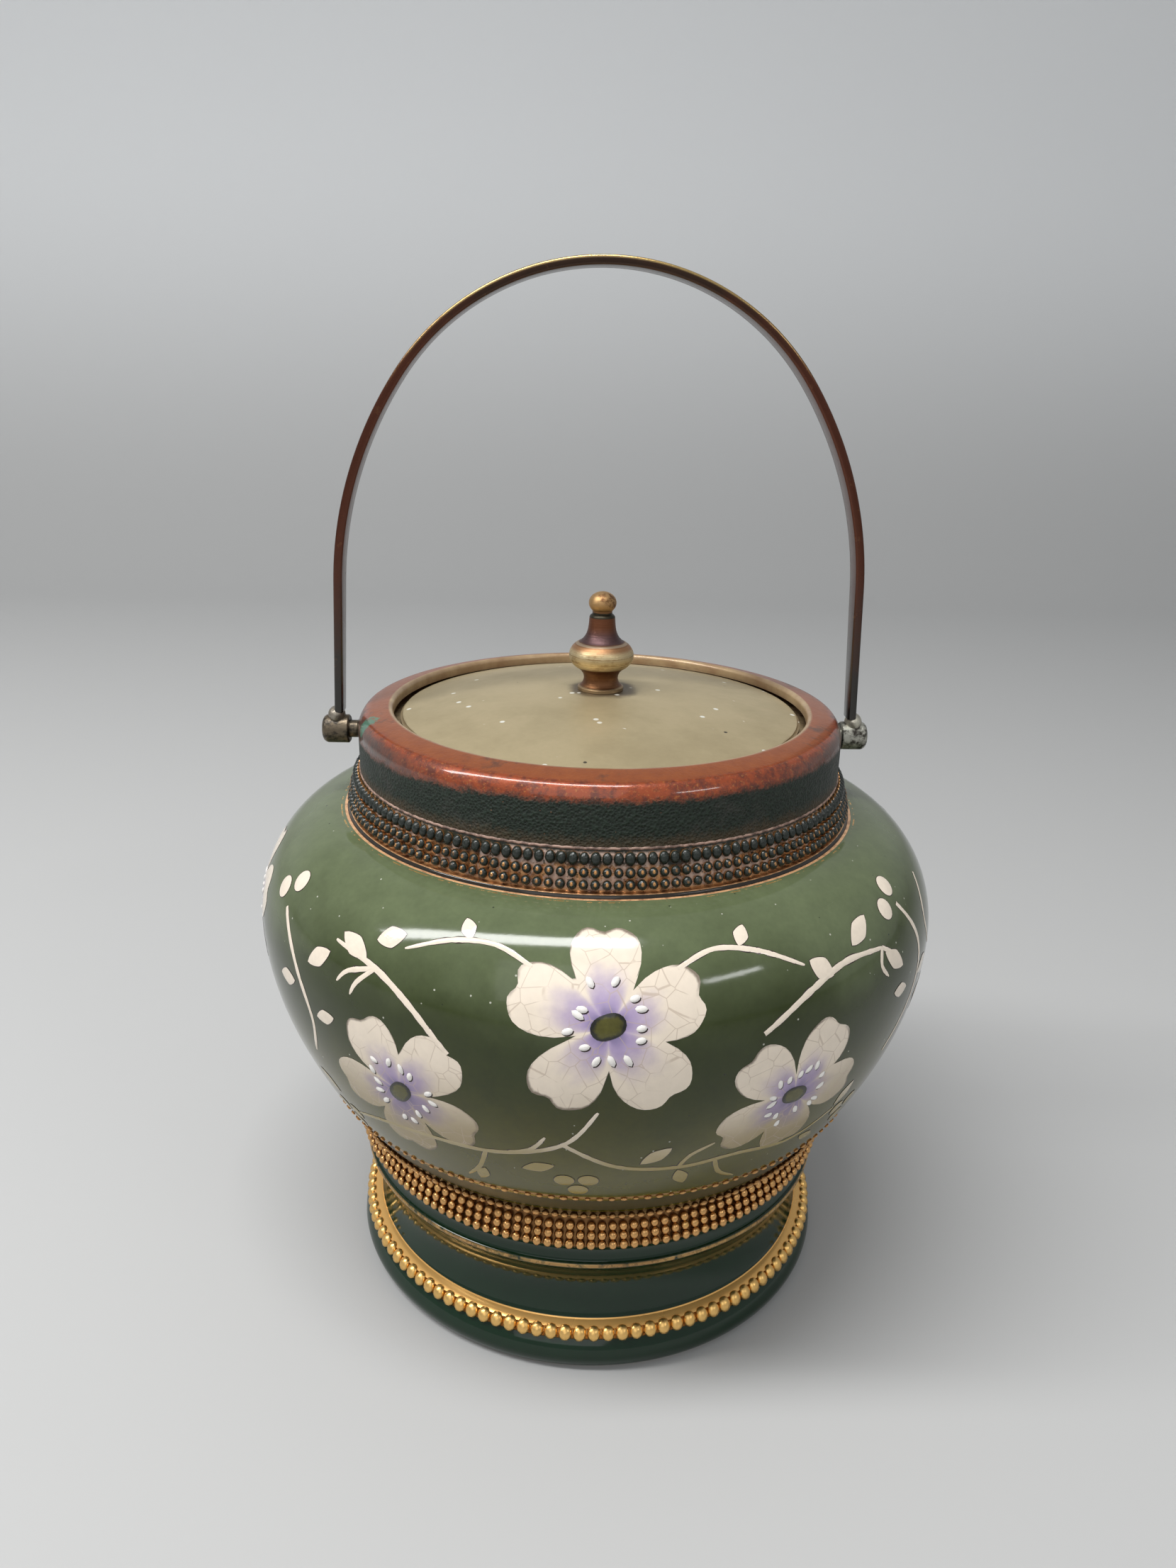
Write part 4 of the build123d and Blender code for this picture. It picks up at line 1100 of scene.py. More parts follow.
class Painting:
    """Collects painted shapes of one finish into one mesh, with each shape's own plane as its UV map."""

    def __init__(self, side):
        self.side = side
        self.verts = []
        self.faces = []
        self.marks = []

    def point(self, centre, x, y, lift, mark):
        """Adds a point x millimetres round and y up from a centre given as (degrees, level)."""
        angle = math.radians(centre[0])
        reach = self.side.length_at(centre[1]) + y
        radius = self.side.section(reach)[0]
        self.verts.append(self.side.spot(angle + x / radius, reach, lift))
        self.marks.append(mark)
        return len(self.verts) - 1

    def disc(self, centre, outline, lift, rings, rays, dome=0.0, turn=0.0, offset=(0.0, 0.0)):
        """A patch round a point, whose edge lies at outline(angle) from it; dome raises its middle."""

        def add(share, angle):
            reach = share * outline(angle)
            x = offset[0] + reach * math.cos(angle + turn)
            y = offset[1] + reach * math.sin(angle + turn)
            rise = lift + dome * math.sqrt(max(0.0, 1 - share**2))
            return self.point(centre, x, y, rise, (share * math.cos(angle), share * math.sin(angle)))

        middle = add(0.0, 0.0)
        last = None
        for ring in range(1, rings + 1):
            now = [add(ring / rings, math.tau * ray / rays) for ray in range(rays)]
            for ray in range(rays):
                after = (ray + 1) % rays
                if last is None:
                    self.faces.append((middle, now[ray], now[after]))
                else:
                    self.faces.append((last[ray], now[ray], now[after], last[after]))
            last = now

    def stroke(self, knots, width, lift, taper=0.35, wobble=0.12, seed=0):
        """A brush stroke through knots given as (degrees, level), thinner at its ends."""
        chance = random.Random(seed)
        path = [(math.radians(angle), self.side.length_at(level)) for angle, level in knots]
        fine = []
        for index in range(len(path) - 1):
            before = path[max(index - 1, 0)]
            here, there = path[index], path[index + 1]
            beyond = path[min(index + 2, len(path) - 1)]
            radius = self.side.section(here[1])[0]
            steps = max(2, round(math.hypot((there[0] - here[0]) * radius, there[1] - here[1]) / 1.1))
            for step in range(steps):
                fine.append(between(before, here, there, beyond, step / steps))
        fine.append(path[-1])
        last = None
        for index, (angle, reach) in enumerate(fine):
            before, after = fine[max(index - 1, 0)], fine[min(index + 1, len(fine) - 1)]
            radius = self.side.section(reach)[0]
            way = Vector(((after[0] - before[0]) * radius, after[1] - before[1])).normalized()
            share = index / (len(fine) - 1)
            half = width / 2 * (taper + (1 - taper) * math.sin(math.pi * min(1, 0.12 + share * 0.88)) ** 0.5)
            half *= 1 + wobble * chance.uniform(-1, 1)
            now = []
            for across in (-1.0, 0.0, 1.0):
                x, y = -way.y * half * across, way.x * half * across
                rise = lift + (0.10 if across == 0.0 else 0.0)
                self.verts.append(self.side.spot(angle + x / radius, reach + y, rise))
                self.marks.append((across, share))
                now.append(len(self.verts) - 1)
            if last is not None:
                self.faces.append((last[0], last[1], now[1], now[0]))
                self.faces.append((last[1], last[2], now[2], now[1]))
            last = now

    def mesh(self, name):
        """The collected shapes as a mesh whose faces point outwards."""
        mesh = bpy.data.meshes.new(name)
        mesh.from_pydata([tuple(vert) for vert in self.verts], [], self.faces)
        bm = bmesh.new()
        bm.from_mesh(mesh)
        for face in bm.faces:
            middle = face.calc_center_median()
            if face.normal.dot(Vector((middle.x, middle.y, 0.0))) < 0 and face.normal.length > 0:
                face.normal_flip()
        bm.to_mesh(mesh)
        bm.free()
        layer = mesh.uv_layers.new(name="Brush")
        for loop in mesh.loops:
            layer.data[loop.index].uv = self.marks[loop.vertex_index]
        return smooth_mesh(mesh, 80.0)


# Each blossom: degrees round the pot, level, radius in millimetres, turn in degrees.
BLOSSOMS = (
    (-90.0, 107.5, 22.0, 20.0),
    (-121.0, 84.0, 20.5, 50.0),
    (-61.0, 85.0, 20.0, -8.0),
    (-172.0, 101.0, 19.0, 30.0),
    (8.0, 104.0, 18.0, 12.0),
    (100.0, 103.0, 21.0, -20.0),
    (68.0, 82.0, 18.0, 44.0),
)

# Each stem: knots of (degrees, level). The main ones come first and are thicker.
MAIN_STEMS = 6
STEMS = (
    ((-136, 66), (-128, 70), (-118, 72), (-106, 73), (-96, 78), (-91, 88)),
    ((-96, 78), (-88, 71), (-78, 69), (-68, 70), (-57, 68), (-48, 72)),
    ((-112, 98), (-118, 106), (-125, 111), (-134, 113)),
    ((-68, 103), (-60, 109), (-52, 112), (-43, 111)),
    ((-150, 112), (-143, 103), (-139, 92), (-141, 82)),
    ((-34, 116), (-30, 106), (-31, 94), (-38, 82)),
    ((-108, 73), (-110, 66), (-113, 61)),
    ((-72, 70), (-70, 64), (-66, 60)),
    ((-20, 116), (-24, 108), (-22, 100)),
    ((-101, 117), (-107, 119.5), (-114, 119), (-121, 116)),
    ((-80, 117), (-74, 119.3), (-67, 118), (-60, 114)),
    ((-125, 111), (-128, 107), (-129, 104)),
    ((-125, 111), (-130, 108.5), (-132, 105.5)),
    ((-43, 111), (-40, 108), (-39, 105)),
    ((-43, 111), (-44, 107.5), (-42.5, 104.5)),
    ((-106, 73), (-101, 75.5), (-98.5, 80)),
    ((-78, 69), (-76.5, 73), (-73, 76)),
    ((58, 104), (70, 108), (82, 100), (90, 90)),
    ((118, 104), (126, 96), (130, 84), (124, 74)),
    ((84, 70), (76, 66), (60, 66), (50, 72)),
)

# Each leaf: degrees, level, length, width, turn in degrees.
LEAVES = (
    (-130.0, 113.5, 9.0, 4.4, 160.0),
    (-137.0, 108.0, 8.5, 4.2, 215.0),
    (-47.0, 116.0, 9.0, 4.4, 30.0),
    (-40.0, 107.0, 9.0, 4.2, -38.0),
    (-110.0, 63.0, 6.0, 3.0, 250.0),
    (-100.0, 69.5, 7.5, 3.6, 200.0),
    (-82.0, 74.0, 8.0, 3.8, 40.0),
    (-77.0, 65.0, 7.0, 3.4, 290.0),
    (-47.0, 76.0, 7.5, 3.6, 60.0),
    (-52.0, 65.5, 6.5, 3.2, -30.0),
    (-142.0, 72.0, 7.5, 3.6, 140.0),
    (-146.0, 98.0, 8.0, 4.0, 190.0),
    (-135.0, 95.0, 7.0, 3.4, 20.0),
    (-27.0, 98.0, 8.0, 4.0, 10.0),
    (-38.0, 98.5, 7.0, 3.4, 170.0),
    (62.0, 110.0, 8.5, 4.2, 150.0),
    (130.0, 100.0, 8.5, 4.2, 20.0),
    (133.0, 78.0, 8.0, 3.8, 320.0),
    (47.0, 76.0, 7.5, 3.6, 130.0),
    (-124.0, 117.0, 7.0, 4.6, 205.0),
    (-112.0, 121.0, 5.0, 3.2, 120.0),
    (-57.0, 112.5, 7.0, 4.6, -40.0),
    (-69.0, 120.6, 5.0, 3.2, 60.0),
)

# Each cluster of berries: degrees, level, number of berries, radius of one.
BERRIES = (
    (-140.0, 63.0, 3, 2.3),
    (-94.0, 64.0, 3, 2.2),
    (-44.0, 69.0, 3, 2.2),
    (-152.0, 116.0, 2, 2.6),
    (-36.0, 118.0, 2, 2.5),
    (-24.0, 88.0, 3, 2.3),
    (112.0, 74.0, 3, 2.3),
    (52.0, 66.0, 3, 2.2),
)


def blossom_edge(radius, petals, seed):
    """Distance of a blossom's edge from its middle, for each angle: broad petals with clefts between."""
    chance = random.Random(seed)
    shapes = []
    for petal in range(petals):
        middle = math.tau * petal / petals + chance.uniform(-0.07, 0.07)
        long = radius * chance.uniform(0.9, 1.0)
        shapes.append((middle, long, chance.uniform(0.66, 0.74), chance.uniform(-0.05, 0.05)))

    def edge(angle):
        best = 0.3 * radius
        for middle, long, half, bias in shapes:
            off = (angle - middle + math.pi) % math.tau - math.pi
            if abs(off) < half:
                share = off / half
                petal = long * (1 - abs(share) ** 2.6) ** 0.55
                petal -= 0.075 * long * math.exp(-((share - bias) / 0.16) ** 2)
                best = max(best, petal)
        return best + 0.14 * math.sin(9 * angle + seed) + 0.1 * math.sin(23 * angle)

    return edge


def oval(radius, bulge=0.0):
    """Edge of a berry or an eye, which bulges to two sides."""
    return lambda angle: radius + bulge * math.cos(2 * angle)


def lens(long, wide, point=1.35):
    """Edge of a leaf, pointed at both ends."""

    def edge(angle):
        along = abs(math.cos(angle) / (long / 2)) ** point
        across = abs(math.sin(angle) / (wide / 2)) ** point
        return (along + across) ** (-1 / point)

    return edge


# ---- Operators ----


class JAR_OT_pot(Operator):
    """Turn the glazed pot with its mouldings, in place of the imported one"""

    bl_idname = "biscuit_jar.pot"
    bl_label = "Pot"

    def execute(self, context):
        pot = sizes_of(context.scene.biscuit_jar.pot)
        stand(lathe("pot", pot_outline(pot), 256), "jar", glaze_finish(pot), "glaze", "jar_body")
        dress(plaster_finish(), "plaster_bed")
        return {"FINISHED"}


class JAR_OT_beads(Operator):
    """Set the moulded beads of the foot, the waist and the neck"""

    bl_idname = "biscuit_jar.beads"
    bl_label = "Beads"

    def execute(self, context):
        jar = context.scene.biscuit_jar
        pot, beads = sizes_of(jar.pot), sizes_of(jar.beads)
        at, tree = levels(pot), bead_tree()
        gilt, crowns = gilt_bead_finish(), crown_bead_finish(at.neck)
        foot, waist, neck, crown = beads.foot_bead, beads.waist_bead, beads.neck_bead, beads.neck_crown
        waist_in, waist_up = pot.waist_band_taper / beads.rows, pot.waist_band_height / beads.rows
        neck_in, neck_up = pot.neck_band_taper / beads.rows, pot.neck_band_height / beads.rows
        bead_piece(
            tree, "foot_beads", gilt, seed=1, lean=28, count=beads.foot_count, spread=0.03,
            at=(pot.foot_radius - 1.9, pot.rim_height + 1.75), size=(foot * 0.8, foot * 1.07, foot * 1.16),
        )
        bead_piece(
            tree, "waist_beads", gilt, seed=2, lean=17, count=beads.waist_count, spread=0.04,
            at=(pot.waist_band_radius + 0.15, at.band + 0.6 * waist_up), rows=beads.rows,
            size=(waist, waist * 1.12, waist * 1.16), step=(-waist_in, 0.9 * waist_up),
        )
        bead_piece(
            tree, "neck_beads", crowns, seed=3, lean=12, count=beads.neck_count, spread=0.06,
            at=(pot.neck_low_radius + 0.2, at.neck + 0.62 * neck_up), rows=beads.rows - 1,
            size=(neck, neck, neck * 1.05), step=(-neck_in, 0.86 * neck_up),
        )
        crown_level = at.neck + (0.7 + 0.86 * (beads.rows - 1)) * neck_up
        bead_piece(
            tree, "neck_crowns", crowns, seed=6, lean=12, count=beads.neck_count, spread=0.05,
            at=(pot.neck_low_radius - 2 * neck_in - 0.05, crown_level), size=(crown, crown, crown * 1.3),
        )
        seed_radius, drop_radius = 65.1, 70.6  # where these beads sit on the belly
        bead_piece(
            tree, "waist_seed_beads", gilt, seed=4, lean=-43, count=beads.seed_count, spread=0.12,
            at=(seed_radius, at.waist + 5.0), size=(0.7, 0.9, 1.0),
        )
        bead_piece(
            tree, "waist_drop_beads", gilt, seed=5, lean=-36, count=beads.drop_count, spread=0.2,
            at=(drop_radius, at.waist + 14.0), size=(0.4, 0.8, 0.6),
        )
        return {"FINISHED"}


class JAR_OT_flowers(Operator):
    """Paint blossoms, sprigs and enamel dots round the belly"""

    bl_idname = "biscuit_jar.flowers"
    bl_label = "Flowers"

    def execute(self, context):
        jar = context.scene.biscuit_jar
        flowers = sizes_of(jar.flowers)
        side = PotSide(belly_outline(sizes_of(jar.pot)))
        petals, eyes, sprigs, lines, enamel = (Painting(side) for _ in range(5))
        self.blossoms(flowers, petals, eyes, lines, enamel)
        self.sprigs(flowers, sprigs, lines)
        for painting, name, finish in (
            (petals, "painted_petals", petal_finish),
            (eyes, "blossom_eyes", eye_finish),
            (sprigs, "painted_sprigs", sprig_finish),
            (lines, "dark_outlines", outline_and_shadow_finish),
            (enamel, "enamel_dots", enamel_finish),
        ):
            stand(painting.mesh(name), "jar", finish(), "glaze")
        return {"FINISHED"}

    @staticmethod
    def blossoms(flowers, petals, eyes, lines, enamel):
        """Blossoms with their eyes, each in a ring of enamel dashes with a painted shadow beside each dash.
        """
        chance = random.Random(flowers.seed)
        for index, (angle, level, radius, turn) in enumerate(BLOSSOMS):
            at, turned = (angle, level), math.radians(turn)
            edge = blossom_edge(radius, 5, index + flowers.seed)
            eye = oval(0.14 * radius, 0.025 * radius)
            petals.disc(at, edge, flowers.lift, rings=16, rays=110, turn=turned)
            eyes.disc(at, eye, flowers.lift * 2, rings=4, rays=24, dome=0.12, turn=turned)
            count = 13 + index % 3
            for dash in range(count):
                way = math.tau * dash / count + chance.uniform(-0.16, 0.16)
                reach = radius * chance.uniform(0.27, 0.43)
                spot = (reach * math.cos(way), reach * math.sin(way))
                lie = way + chance.uniform(-0.6, 0.6)
                shape = lens(radius * chance.uniform(0.095, 0.14), radius * 0.062, 2.0)
                # A dark copy of the dash, offset a little round and down: a painted shadow of the raised
                # enamel.
                shadow = (spot[0] + 0.2, spot[1] - 0.25)
                lines.disc(at, shape, flowers.lift * 1.2, rings=2, rays=12, turn=lie, offset=shadow)
                raised = {"dome": flowers.enamel, "turn": lie, "offset": spot}
                enamel.disc(at, shape, flowers.lift * 1.5, rings=3, rays=12, **raised)

    @staticmethod
    def sprigs(flowers, sprigs, lines):
        """Stems, leaves and berries, each over a somewhat larger dark one."""
        for index, knots in enumerate(STEMS):
            wide = 1.4 if index < MAIN_STEMS else 1.1
            lines.stroke(knots, wide + 0.22, flowers.lift * 0.4, wobble=0.3, seed=index + flowers.seed)
            sprigs.stroke(knots, wide, flowers.lift * 0.9, seed=index + flowers.seed)
        for angle, level, long, wide, turn in LEAVES:
            at, turned = (angle, level), math.radians(turn)
            under, over = lens(long + 0.4, wide + 0.3), lens(long, wide)
            lines.disc(at, under, flowers.lift * 0.9, rings=4, rays=28, turn=turned)
            sprigs.disc(at, over, flowers.lift * 1.4, rings=4, rays=28, dome=0.05, turn=turned)
        for angle, level, count, radius in BERRIES:
            at = (angle, level)
            for berry in range(count):
                way = math.tau * berry / count + 0.6
                spot = (1.35 * radius * math.cos(way), 1.35 * radius * math.sin(way))
                lines.disc(at, oval(radius + 0.15), flowers.lift, rings=3, rays=20, offset=spot)
                sprigs.disc(at, oval(radius), flowers.lift * 1.6, rings=3, rays=20, dome=0.10, offset=spot)


class JAR_OT_collar(Operator):
    """Roll the collar of tarnished sheet, over a line of cement"""

    bl_idname = "biscuit_jar.collar"
    bl_label = "Collar"

    def execute(self, context):
        collar = sizes_of(context.scene.biscuit_jar.collar)
        middle = (collar.radius - 0.15, COLLAR_LOW.z - 0.1)
        cement = lathe("cement_line", ellipse(middle, 0.38, 0.34, 0, 330, 11), 960, closed=True)
        for vert in cement.vertices:
            wave = 0.13 * abs(math.sin(80 * math.atan2(vert.co.y, vert.co.x)))
            vert.co.z += (wave - 0.1) * MM
        stand(cement, "jar", cement_finish(), "plaster")
        rolled = lathe("rolled_collar", collar_outline(collar), 256, closed=True)
        stand(rolled, "jar", collar_finish(collar), "collar_metal", "collar")
        return {"FINISHED"}


class JAR_OT_lid(Operator):
    """Raise the lid's dome, and finish its seat and what is under it"""

    bl_idname = "biscuit_jar.lid"
    bl_label = "Lid"

    def execute(self, context):
        lid = sizes_of(context.scene.biscuit_jar.lid)
        dome = lathe("domed_lid", lid_outline(lid), 192, closed=True)
        stand(dome, "lid", lid_finish(lid), "lid_metal", "lid_plate")
        dress(plain_brass_finish(), "lid_seat", "lid_skirt", "knob_stud", "knob_washer", "knob_nut")
        return {"FINISHED"}


class JAR_OT_knob(Operator):
    """Turn the knob: a foot, a ring and a cap with its ball"""

    bl_idname = "biscuit_jar.knob"
    bl_label = "Knob"

    def execute(self, context):
        jar = context.scene.biscuit_jar
        knob, bore = sizes_of(jar.knob), sizes_of(jar.lid).bore
        finish = knob_finish()
        for name, node, section in (
            ("knob_stem", "knob_foot", self.foot),
            ("knob_bead", "knob_ring", self.ring),
            ("knob_bell", "knob_cap", self.cap),
        ):
            low, high = (corner.z for corner in corners(node))
            outline = section(knob, bore, low, high)
            stand(lathe(name, outline, 96, closed=True), "lid", finish, "knob_metal", node)
        return {"FINISHED"}

    @staticmethod
    def foot(knob, bore, low, high):
        """Section of the thin disc and the stem over it."""
        edge_top = low + knob.foot_edge
        start, waist = (knob.foot_radius - 0.25, edge_top), (knob.waist_radius, low + knob.waist_height)
        stem = smooth([start, waist, (knob.stem_radius, high)], (-1, 0.4), (1, 0.6))
        return [(bore, low), (knob.foot_radius, low), (knob.foot_radius, edge_top - 0.2), *stem, (bore, high)]

    @staticmethod
    def ring(knob, bore, low, high):
        """Section of the ring."""
        widest = (knob.ring_radius, (low + high) / 2)
        bead = smooth([(knob.stem_radius, low), widest, (knob.cap_radius, high)], (1, 0.5), (-1, 0.4))
        bead = [(min(radius, knob.ring_radius), level) for radius, level in bead]
        return [(bore, low), *bead, (bore, high)]

    @staticmethod
    def cap(knob, bore, low, high):
        """Section of the bell and the ball over it, with the stud's blind hole."""
        stud_depth = 4.05
        bell_top = low + knob.bell_height
        flank = (knob.bell_radius + 0.75, low + 0.3 * knob.bell_height)
        bell = smooth([(knob.cap_radius, low), flank, (knob.bell_radius, bell_top)], (-1, 0.5), (-0.1, 1))
        middle = (0, high - knob.ball_half_height)
        under = -math.degrees(math.acos(knob.groove_radius / knob.ball_radius))
        ball = ellipse(middle, knob.ball_radius, knob.ball_half_height, under, 90, 20)
        return [
            (bore, low),
            *bell,
            *bow((knob.bell_radius, bell_top + 0.1), (knob.groove_radius, bell_top + 0.8), 0.12, 4),
            *ball[:-1],
            (0, high),
            (0, low + stud_depth),
            (bore, low + stud_depth),
        ]


class JAR_OT_handle(Operator):
    """Bend the handle strip and turn its bosses"""

    bl_idname = "biscuit_jar.handle"
    bl_label = "Handle"

    LEG_SPLAY = math.radians(2.6)
    CROWN_END = math.radians(35.0)  # where the crown arc meets the side arcs
    LEG_START = 1.3  # from the barrel up to the strip's end
    BORE_RADIUS = 2.2
    END_WALL = 1.85  # of the barrel, beyond its blind bore

    def execute(self, context):
        handle = sizes_of(context.scene.biscuit_jar.handle)
        stand(self.strip(handle), "bail", handle_finish(handle.crown_radius), "handle_metal", "handle")
        finish, solder = boss_finish(), solder_finish()
        dress(finish, "pivot_pin_left", "pivot_pin_right")
        for side, name in ((-1, "left"), (1, "right")):
            node = "handle_boss_" + name
            low, high = corners(node)
            barrel = self.barrel(handle, "boss_" + name, low, high, side)
            stand(barrel, "bail", finish, "boss_metal", node)
            stand(self.solder_pad("solder_" + name, low, high, side), "bail", solder, "boss_metal")
        return {"FINISHED"}

    def barrel(self, handle, name, low, high, side):
        """A boss: a barrel with a rounded outer end and a blind bore from the inner one."""
        inner = high.x if side < 0 else low.x
        long, radius, rounding = high.x - low.x, handle.boss_radius, handle.boss_rounding
        bore_end = long - self.END_WALL
        outline = [
            (0, bore_end),
            (self.BORE_RADIUS, bore_end),
            (self.BORE_RADIUS, 0),
            (radius - 0.3, 0),
            (radius, 0.3),
            *ellipse((radius - rounding, long - rounding), rounding, rounding, 0, 90, 8),
            (0, long),
        ]
        place = Matrix.Translation(Vector((inner, 0, PIVOT_LEVEL)) * MM)
        return lathe(name, outline, 64, axis=place @ Matrix.Rotation(side * math.pi / 2, 4, "Y"))

    def path(self, handle):
        """The strip's outer face in its own plane, from the right leg over the crown, with its directions."""
        splay, turn, radius = self.LEG_SPLAY, self.CROWN_END, handle.crown_radius
        centre = Vector((0, handle.rise - radius))
        bend = turn - splay
        reach = handle.half_span * math.cos(splay) - centre.y * math.sin(splay) - radius * math.cos(bend)
        side_radius = reach / (1 - math.cos(bend))
        side_centre = centre + (radius - side_radius) * toward(turn)
        low = handle.boss_radius + self.LEG_START
        leg_top = side_centre.y + side_radius * math.sin(splay)
        half = []
        for step in range(12):
            level = low + (leg_top - low) * step / 12
            half.append((Vector((handle.half_span - level * math.tan(splay), level)), splay))
        for step in range(24):
            angle = splay + bend * step / 24
            half.append((side_centre + side_radius * toward(angle), angle))
        for step in range(37):
            angle = turn + (math.pi / 2 - turn) * step / 36
            half.append((centre + radius * toward(angle), angle))
        other = [(Vector((-place.x, place.y)), math.pi - angle) for place, angle in reversed(half[:-1])]
        return half + other

    def strip(self, handle):
        """The strip as a mesh: a rounded flat section, wider towards the crown."""
        low = handle.boss_radius + self.LEG_START
        bm = bmesh.new()
        rings = []
        for place, angle in self.path(handle):
            share = (place.y - low) / (handle.rise - low)
            half_width = (handle.end_width + (handle.crown_width - handle.end_width) * share) / 2
            ring = []
            for across, depth in self.section(half_width, handle.thickness, handle.rounding):
                spot = place - toward(angle) * depth
                ring.append(bm.verts.new(Vector((spot.x + HANDLE_SHIFT, across, spot.y + PIVOT_LEVEL)) * MM))
            rings.append(ring)
        for lower, upper in zip(rings, rings[1:]):
            for index in range(len(lower)):
                after = (index + 1) % len(lower)
                bm.faces.new((lower[index], lower[after], upper[after], upper[index]))
        bm.faces.new(rings[0])
        bm.faces.new(rings[-1])
        bmesh.ops.recalc_face_normals(bm, faces=bm.faces)
        return finished(bm, "bail_strip", 50.0)

    @staticmethod
    def section(half_width, thickness, rounding):
        """Points of a flat bar's section, as (across, depth from the outer face)."""
        points = []
        for across, depth, start in (
            (half_width - rounding, thickness - rounding, 0),
            (-half_width + rounding, thickness - rounding, 90),
            (-half_width + rounding, rounding, 180),
            (half_width - rounding, rounding, 270),
        ):
            points += ellipse((across, depth), rounding, rounding, start, start + 90, 4)
        return points

    @staticmethod
    def solder_pad(name, low, high, side):
        """A lump of solder between the barrel and the strip's end."""
        middle = Vector(((low.x + high.x) / 2 - side * 0.15, 0, PIVOT_LEVEL + 3.6))
        half_sizes = Vector((2.05, 2.7, 2.2))
        bm = bmesh.new()
        bmesh.ops.create_icosphere(bm, subdivisions=4, radius=1.0)
        chance = random.Random(11 + side)
        lumps = []
        for _ in range(14):
            way = Vector([chance.uniform(-1, 1) for _ in range(3)]).normalized()
            lumps.append((way, chance.uniform(0.02, 0.06)))
        for vert in bm.verts:
            way = vert.co.normalized()
            vert.co *= 1 + sum(height * max(0.0, way.dot(lump)) ** 6 for lump, height in lumps)
        bm.transform(Matrix.Translation(middle * MM) @ Matrix.Diagonal((*half_sizes * MM, 1.0)))
        return finished(bm, name, 60.0)


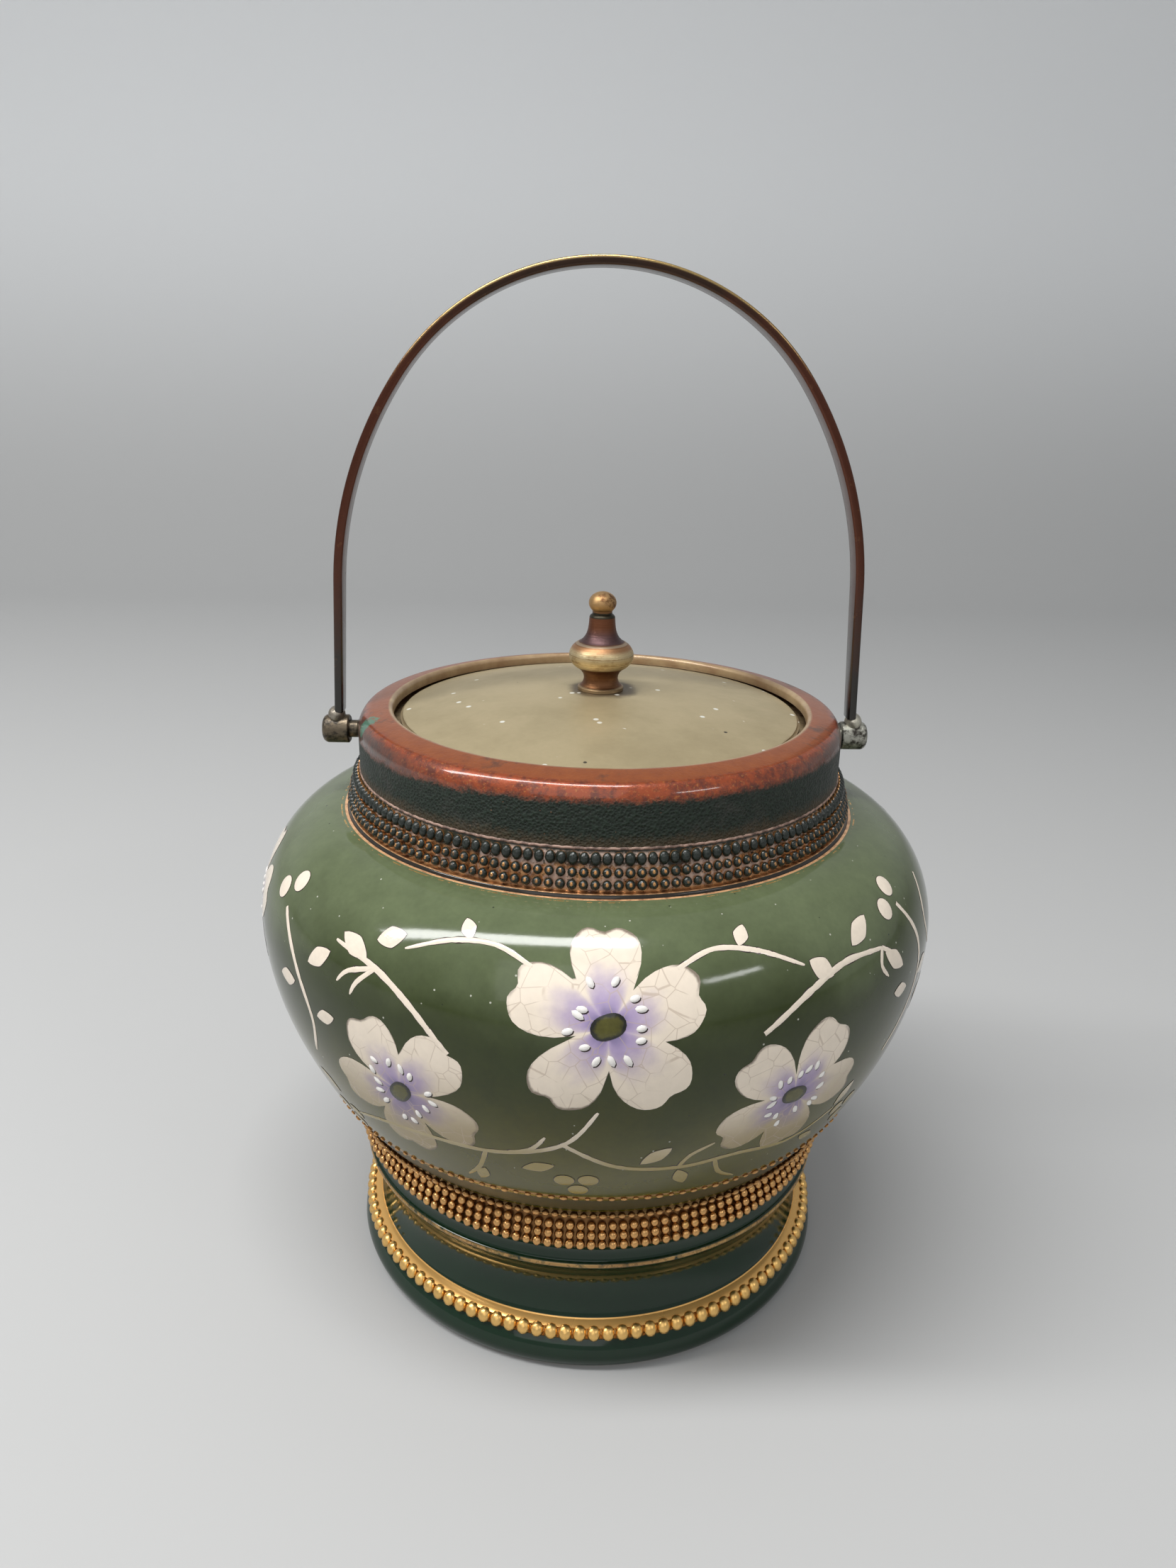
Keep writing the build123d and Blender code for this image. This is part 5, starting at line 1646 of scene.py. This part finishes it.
class JAR_OT_stage(Operator):
    """Lay the floor, hang the lamps and set the camera"""

    bl_idname = "biscuit_jar.stage"
    bl_label = "Stage"

    def execute(self, context):
        self.floor()
        self.lamps()
        self.camera()
        return {"FINISHED"}

    @staticmethod
    def floor():
        """A pale floor that sweeps up behind the jar."""
        reach, behind, height, bend = 3.0, 1.4, 3.0, 0.5
        sweep = [math.radians(5 * step) for step in range(1, 18)]
        section = [(-reach, 0.0), (behind - bend, 0.0)]
        section += [(behind - bend + bend * math.sin(a), bend - bend * math.cos(a)) for a in sweep]
        section += [(behind, bend), (behind, height)]
        verts = [(x, y, z) for y, z in section for x in (-reach, reach)]
        faces = [(2 * i, 2 * i + 1, 2 * i + 3, 2 * i + 2) for i in range(len(section) - 1)]
        mesh = bpy.data.meshes.new("floor")
        mesh.from_pydata(verts, [], faces)
        mesh.materials.append(floor_finish())
        floor = bpy.data.objects.new("floor", smooth_mesh(mesh, 60.0))
        bpy.context.scene.collection.objects.link(floor)

    @staticmethod
    def lamps():
        """Soft boxes round the jar and an even sky."""
        for name, at, target, wide, high, power in (
            ("overhead_strip", (-0.70, -0.25, 1.12), (-0.70, -0.25, 0.0), 1.70, 0.18, 21.0),
            ("side_strip", (0.80, -0.80, 0.78), (0, 0, 0.12), 0.42, 0.07, 1.1),
            ("front_fill", (-0.6, -2.6, 1.9), (0, 0, 0.1), 2.2, 2.2, 14.0),
        ):
            data = bpy.data.lights.new(name, "AREA")
            data.shape = "RECTANGLE"
            data.size, data.size_y, data.energy = wide, high, power
            lamp = bpy.data.objects.new(name, data)
            lamp.location = at
            lamp.rotation_euler = (Vector(target) - Vector(at)).to_track_quat("-Z", "Y").to_euler()
            bpy.context.scene.collection.objects.link(lamp)
        world = bpy.data.worlds.new("Studio Sky")
        world.use_nodes = True
        sky = world.node_tree.nodes["Background"].inputs
        sky["Color"].default_value = (0.8, 0.82, 0.84, 1.0)
        sky["Strength"].default_value = 0.50
        bpy.context.scene.world = world

    @staticmethod
    def camera():
        """The camera that frames the jar from the front, a little above its rim."""
        position = (0.0, -0.27763, 0.2268)
        round_jar, aside, tilt, roll = (math.radians(angle) for angle in (-2.2, 0.526, 90 - 19.70, 1.297))
        data = bpy.data.cameras.new("camera")
        data.lens = 26.68
        data.sensor_width = 36.0
        data.clip_start = 0.01
        camera = bpy.data.objects.new("camera", data)
        place = Matrix.Rotation(round_jar, 4, "Z") @ Matrix.Translation(position)
        look = Matrix.Rotation(aside, 4, "Z") @ Matrix.Rotation(tilt, 4, "X")
        camera.matrix_world = place @ look @ Matrix.Rotation(roll, 4, "Z")
        bpy.context.scene.collection.objects.link(camera)
        bpy.context.scene.camera = camera
        bpy.context.scene.view_settings.view_transform = "Standard"


OPERATORS = (
    JAR_OT_pot,
    JAR_OT_beads,
    JAR_OT_flowers,
    JAR_OT_collar,
    JAR_OT_lid,
    JAR_OT_knob,
    JAR_OT_handle,
    JAR_OT_stage,
)


class JAR_PT_sidebar(Panel):
    """Biscuit jar tools in the 3D view's sidebar"""

    bl_idname = "JAR_PT_sidebar"
    bl_label = "Biscuit Jar"
    bl_space_type = "VIEW_3D"
    bl_region_type = "UI"
    bl_category = "Biscuit Jar"

    def draw(self, context):
        for operator in OPERATORS:
            self.layout.operator(operator.bl_idname)
        jar = context.scene.biscuit_jar
        for name in jar.__annotations__:
            group = getattr(jar, name)
            box = self.layout.box()
            box.label(text=name.title())
            for value in group.__annotations__:
                box.prop(group, value)


CLASSES = (
    PotSizes,
    BeadSizes,
    CollarSizes,
    LidSizes,
    KnobSizes,
    HandleSizes,
    FlowerSizes,
    Colours,
    BiscuitJar,
    *OPERATORS,
    JAR_PT_sidebar,
)


def register():
    for cls in CLASSES:
        bpy.utils.register_class(cls)
    bpy.types.Scene.biscuit_jar = PointerProperty(type=BiscuitJar)


def unregister():
    del bpy.types.Scene.biscuit_jar
    for cls in reversed(CLASSES):
        bpy.utils.unregister_class(cls)


def main():
    """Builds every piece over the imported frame, then the stage."""
    register()
    for operator in OPERATORS:
        group, name = operator.bl_idname.split(".")
        getattr(getattr(bpy.ops, group), name)()


if __name__ == "__main__":
    main()
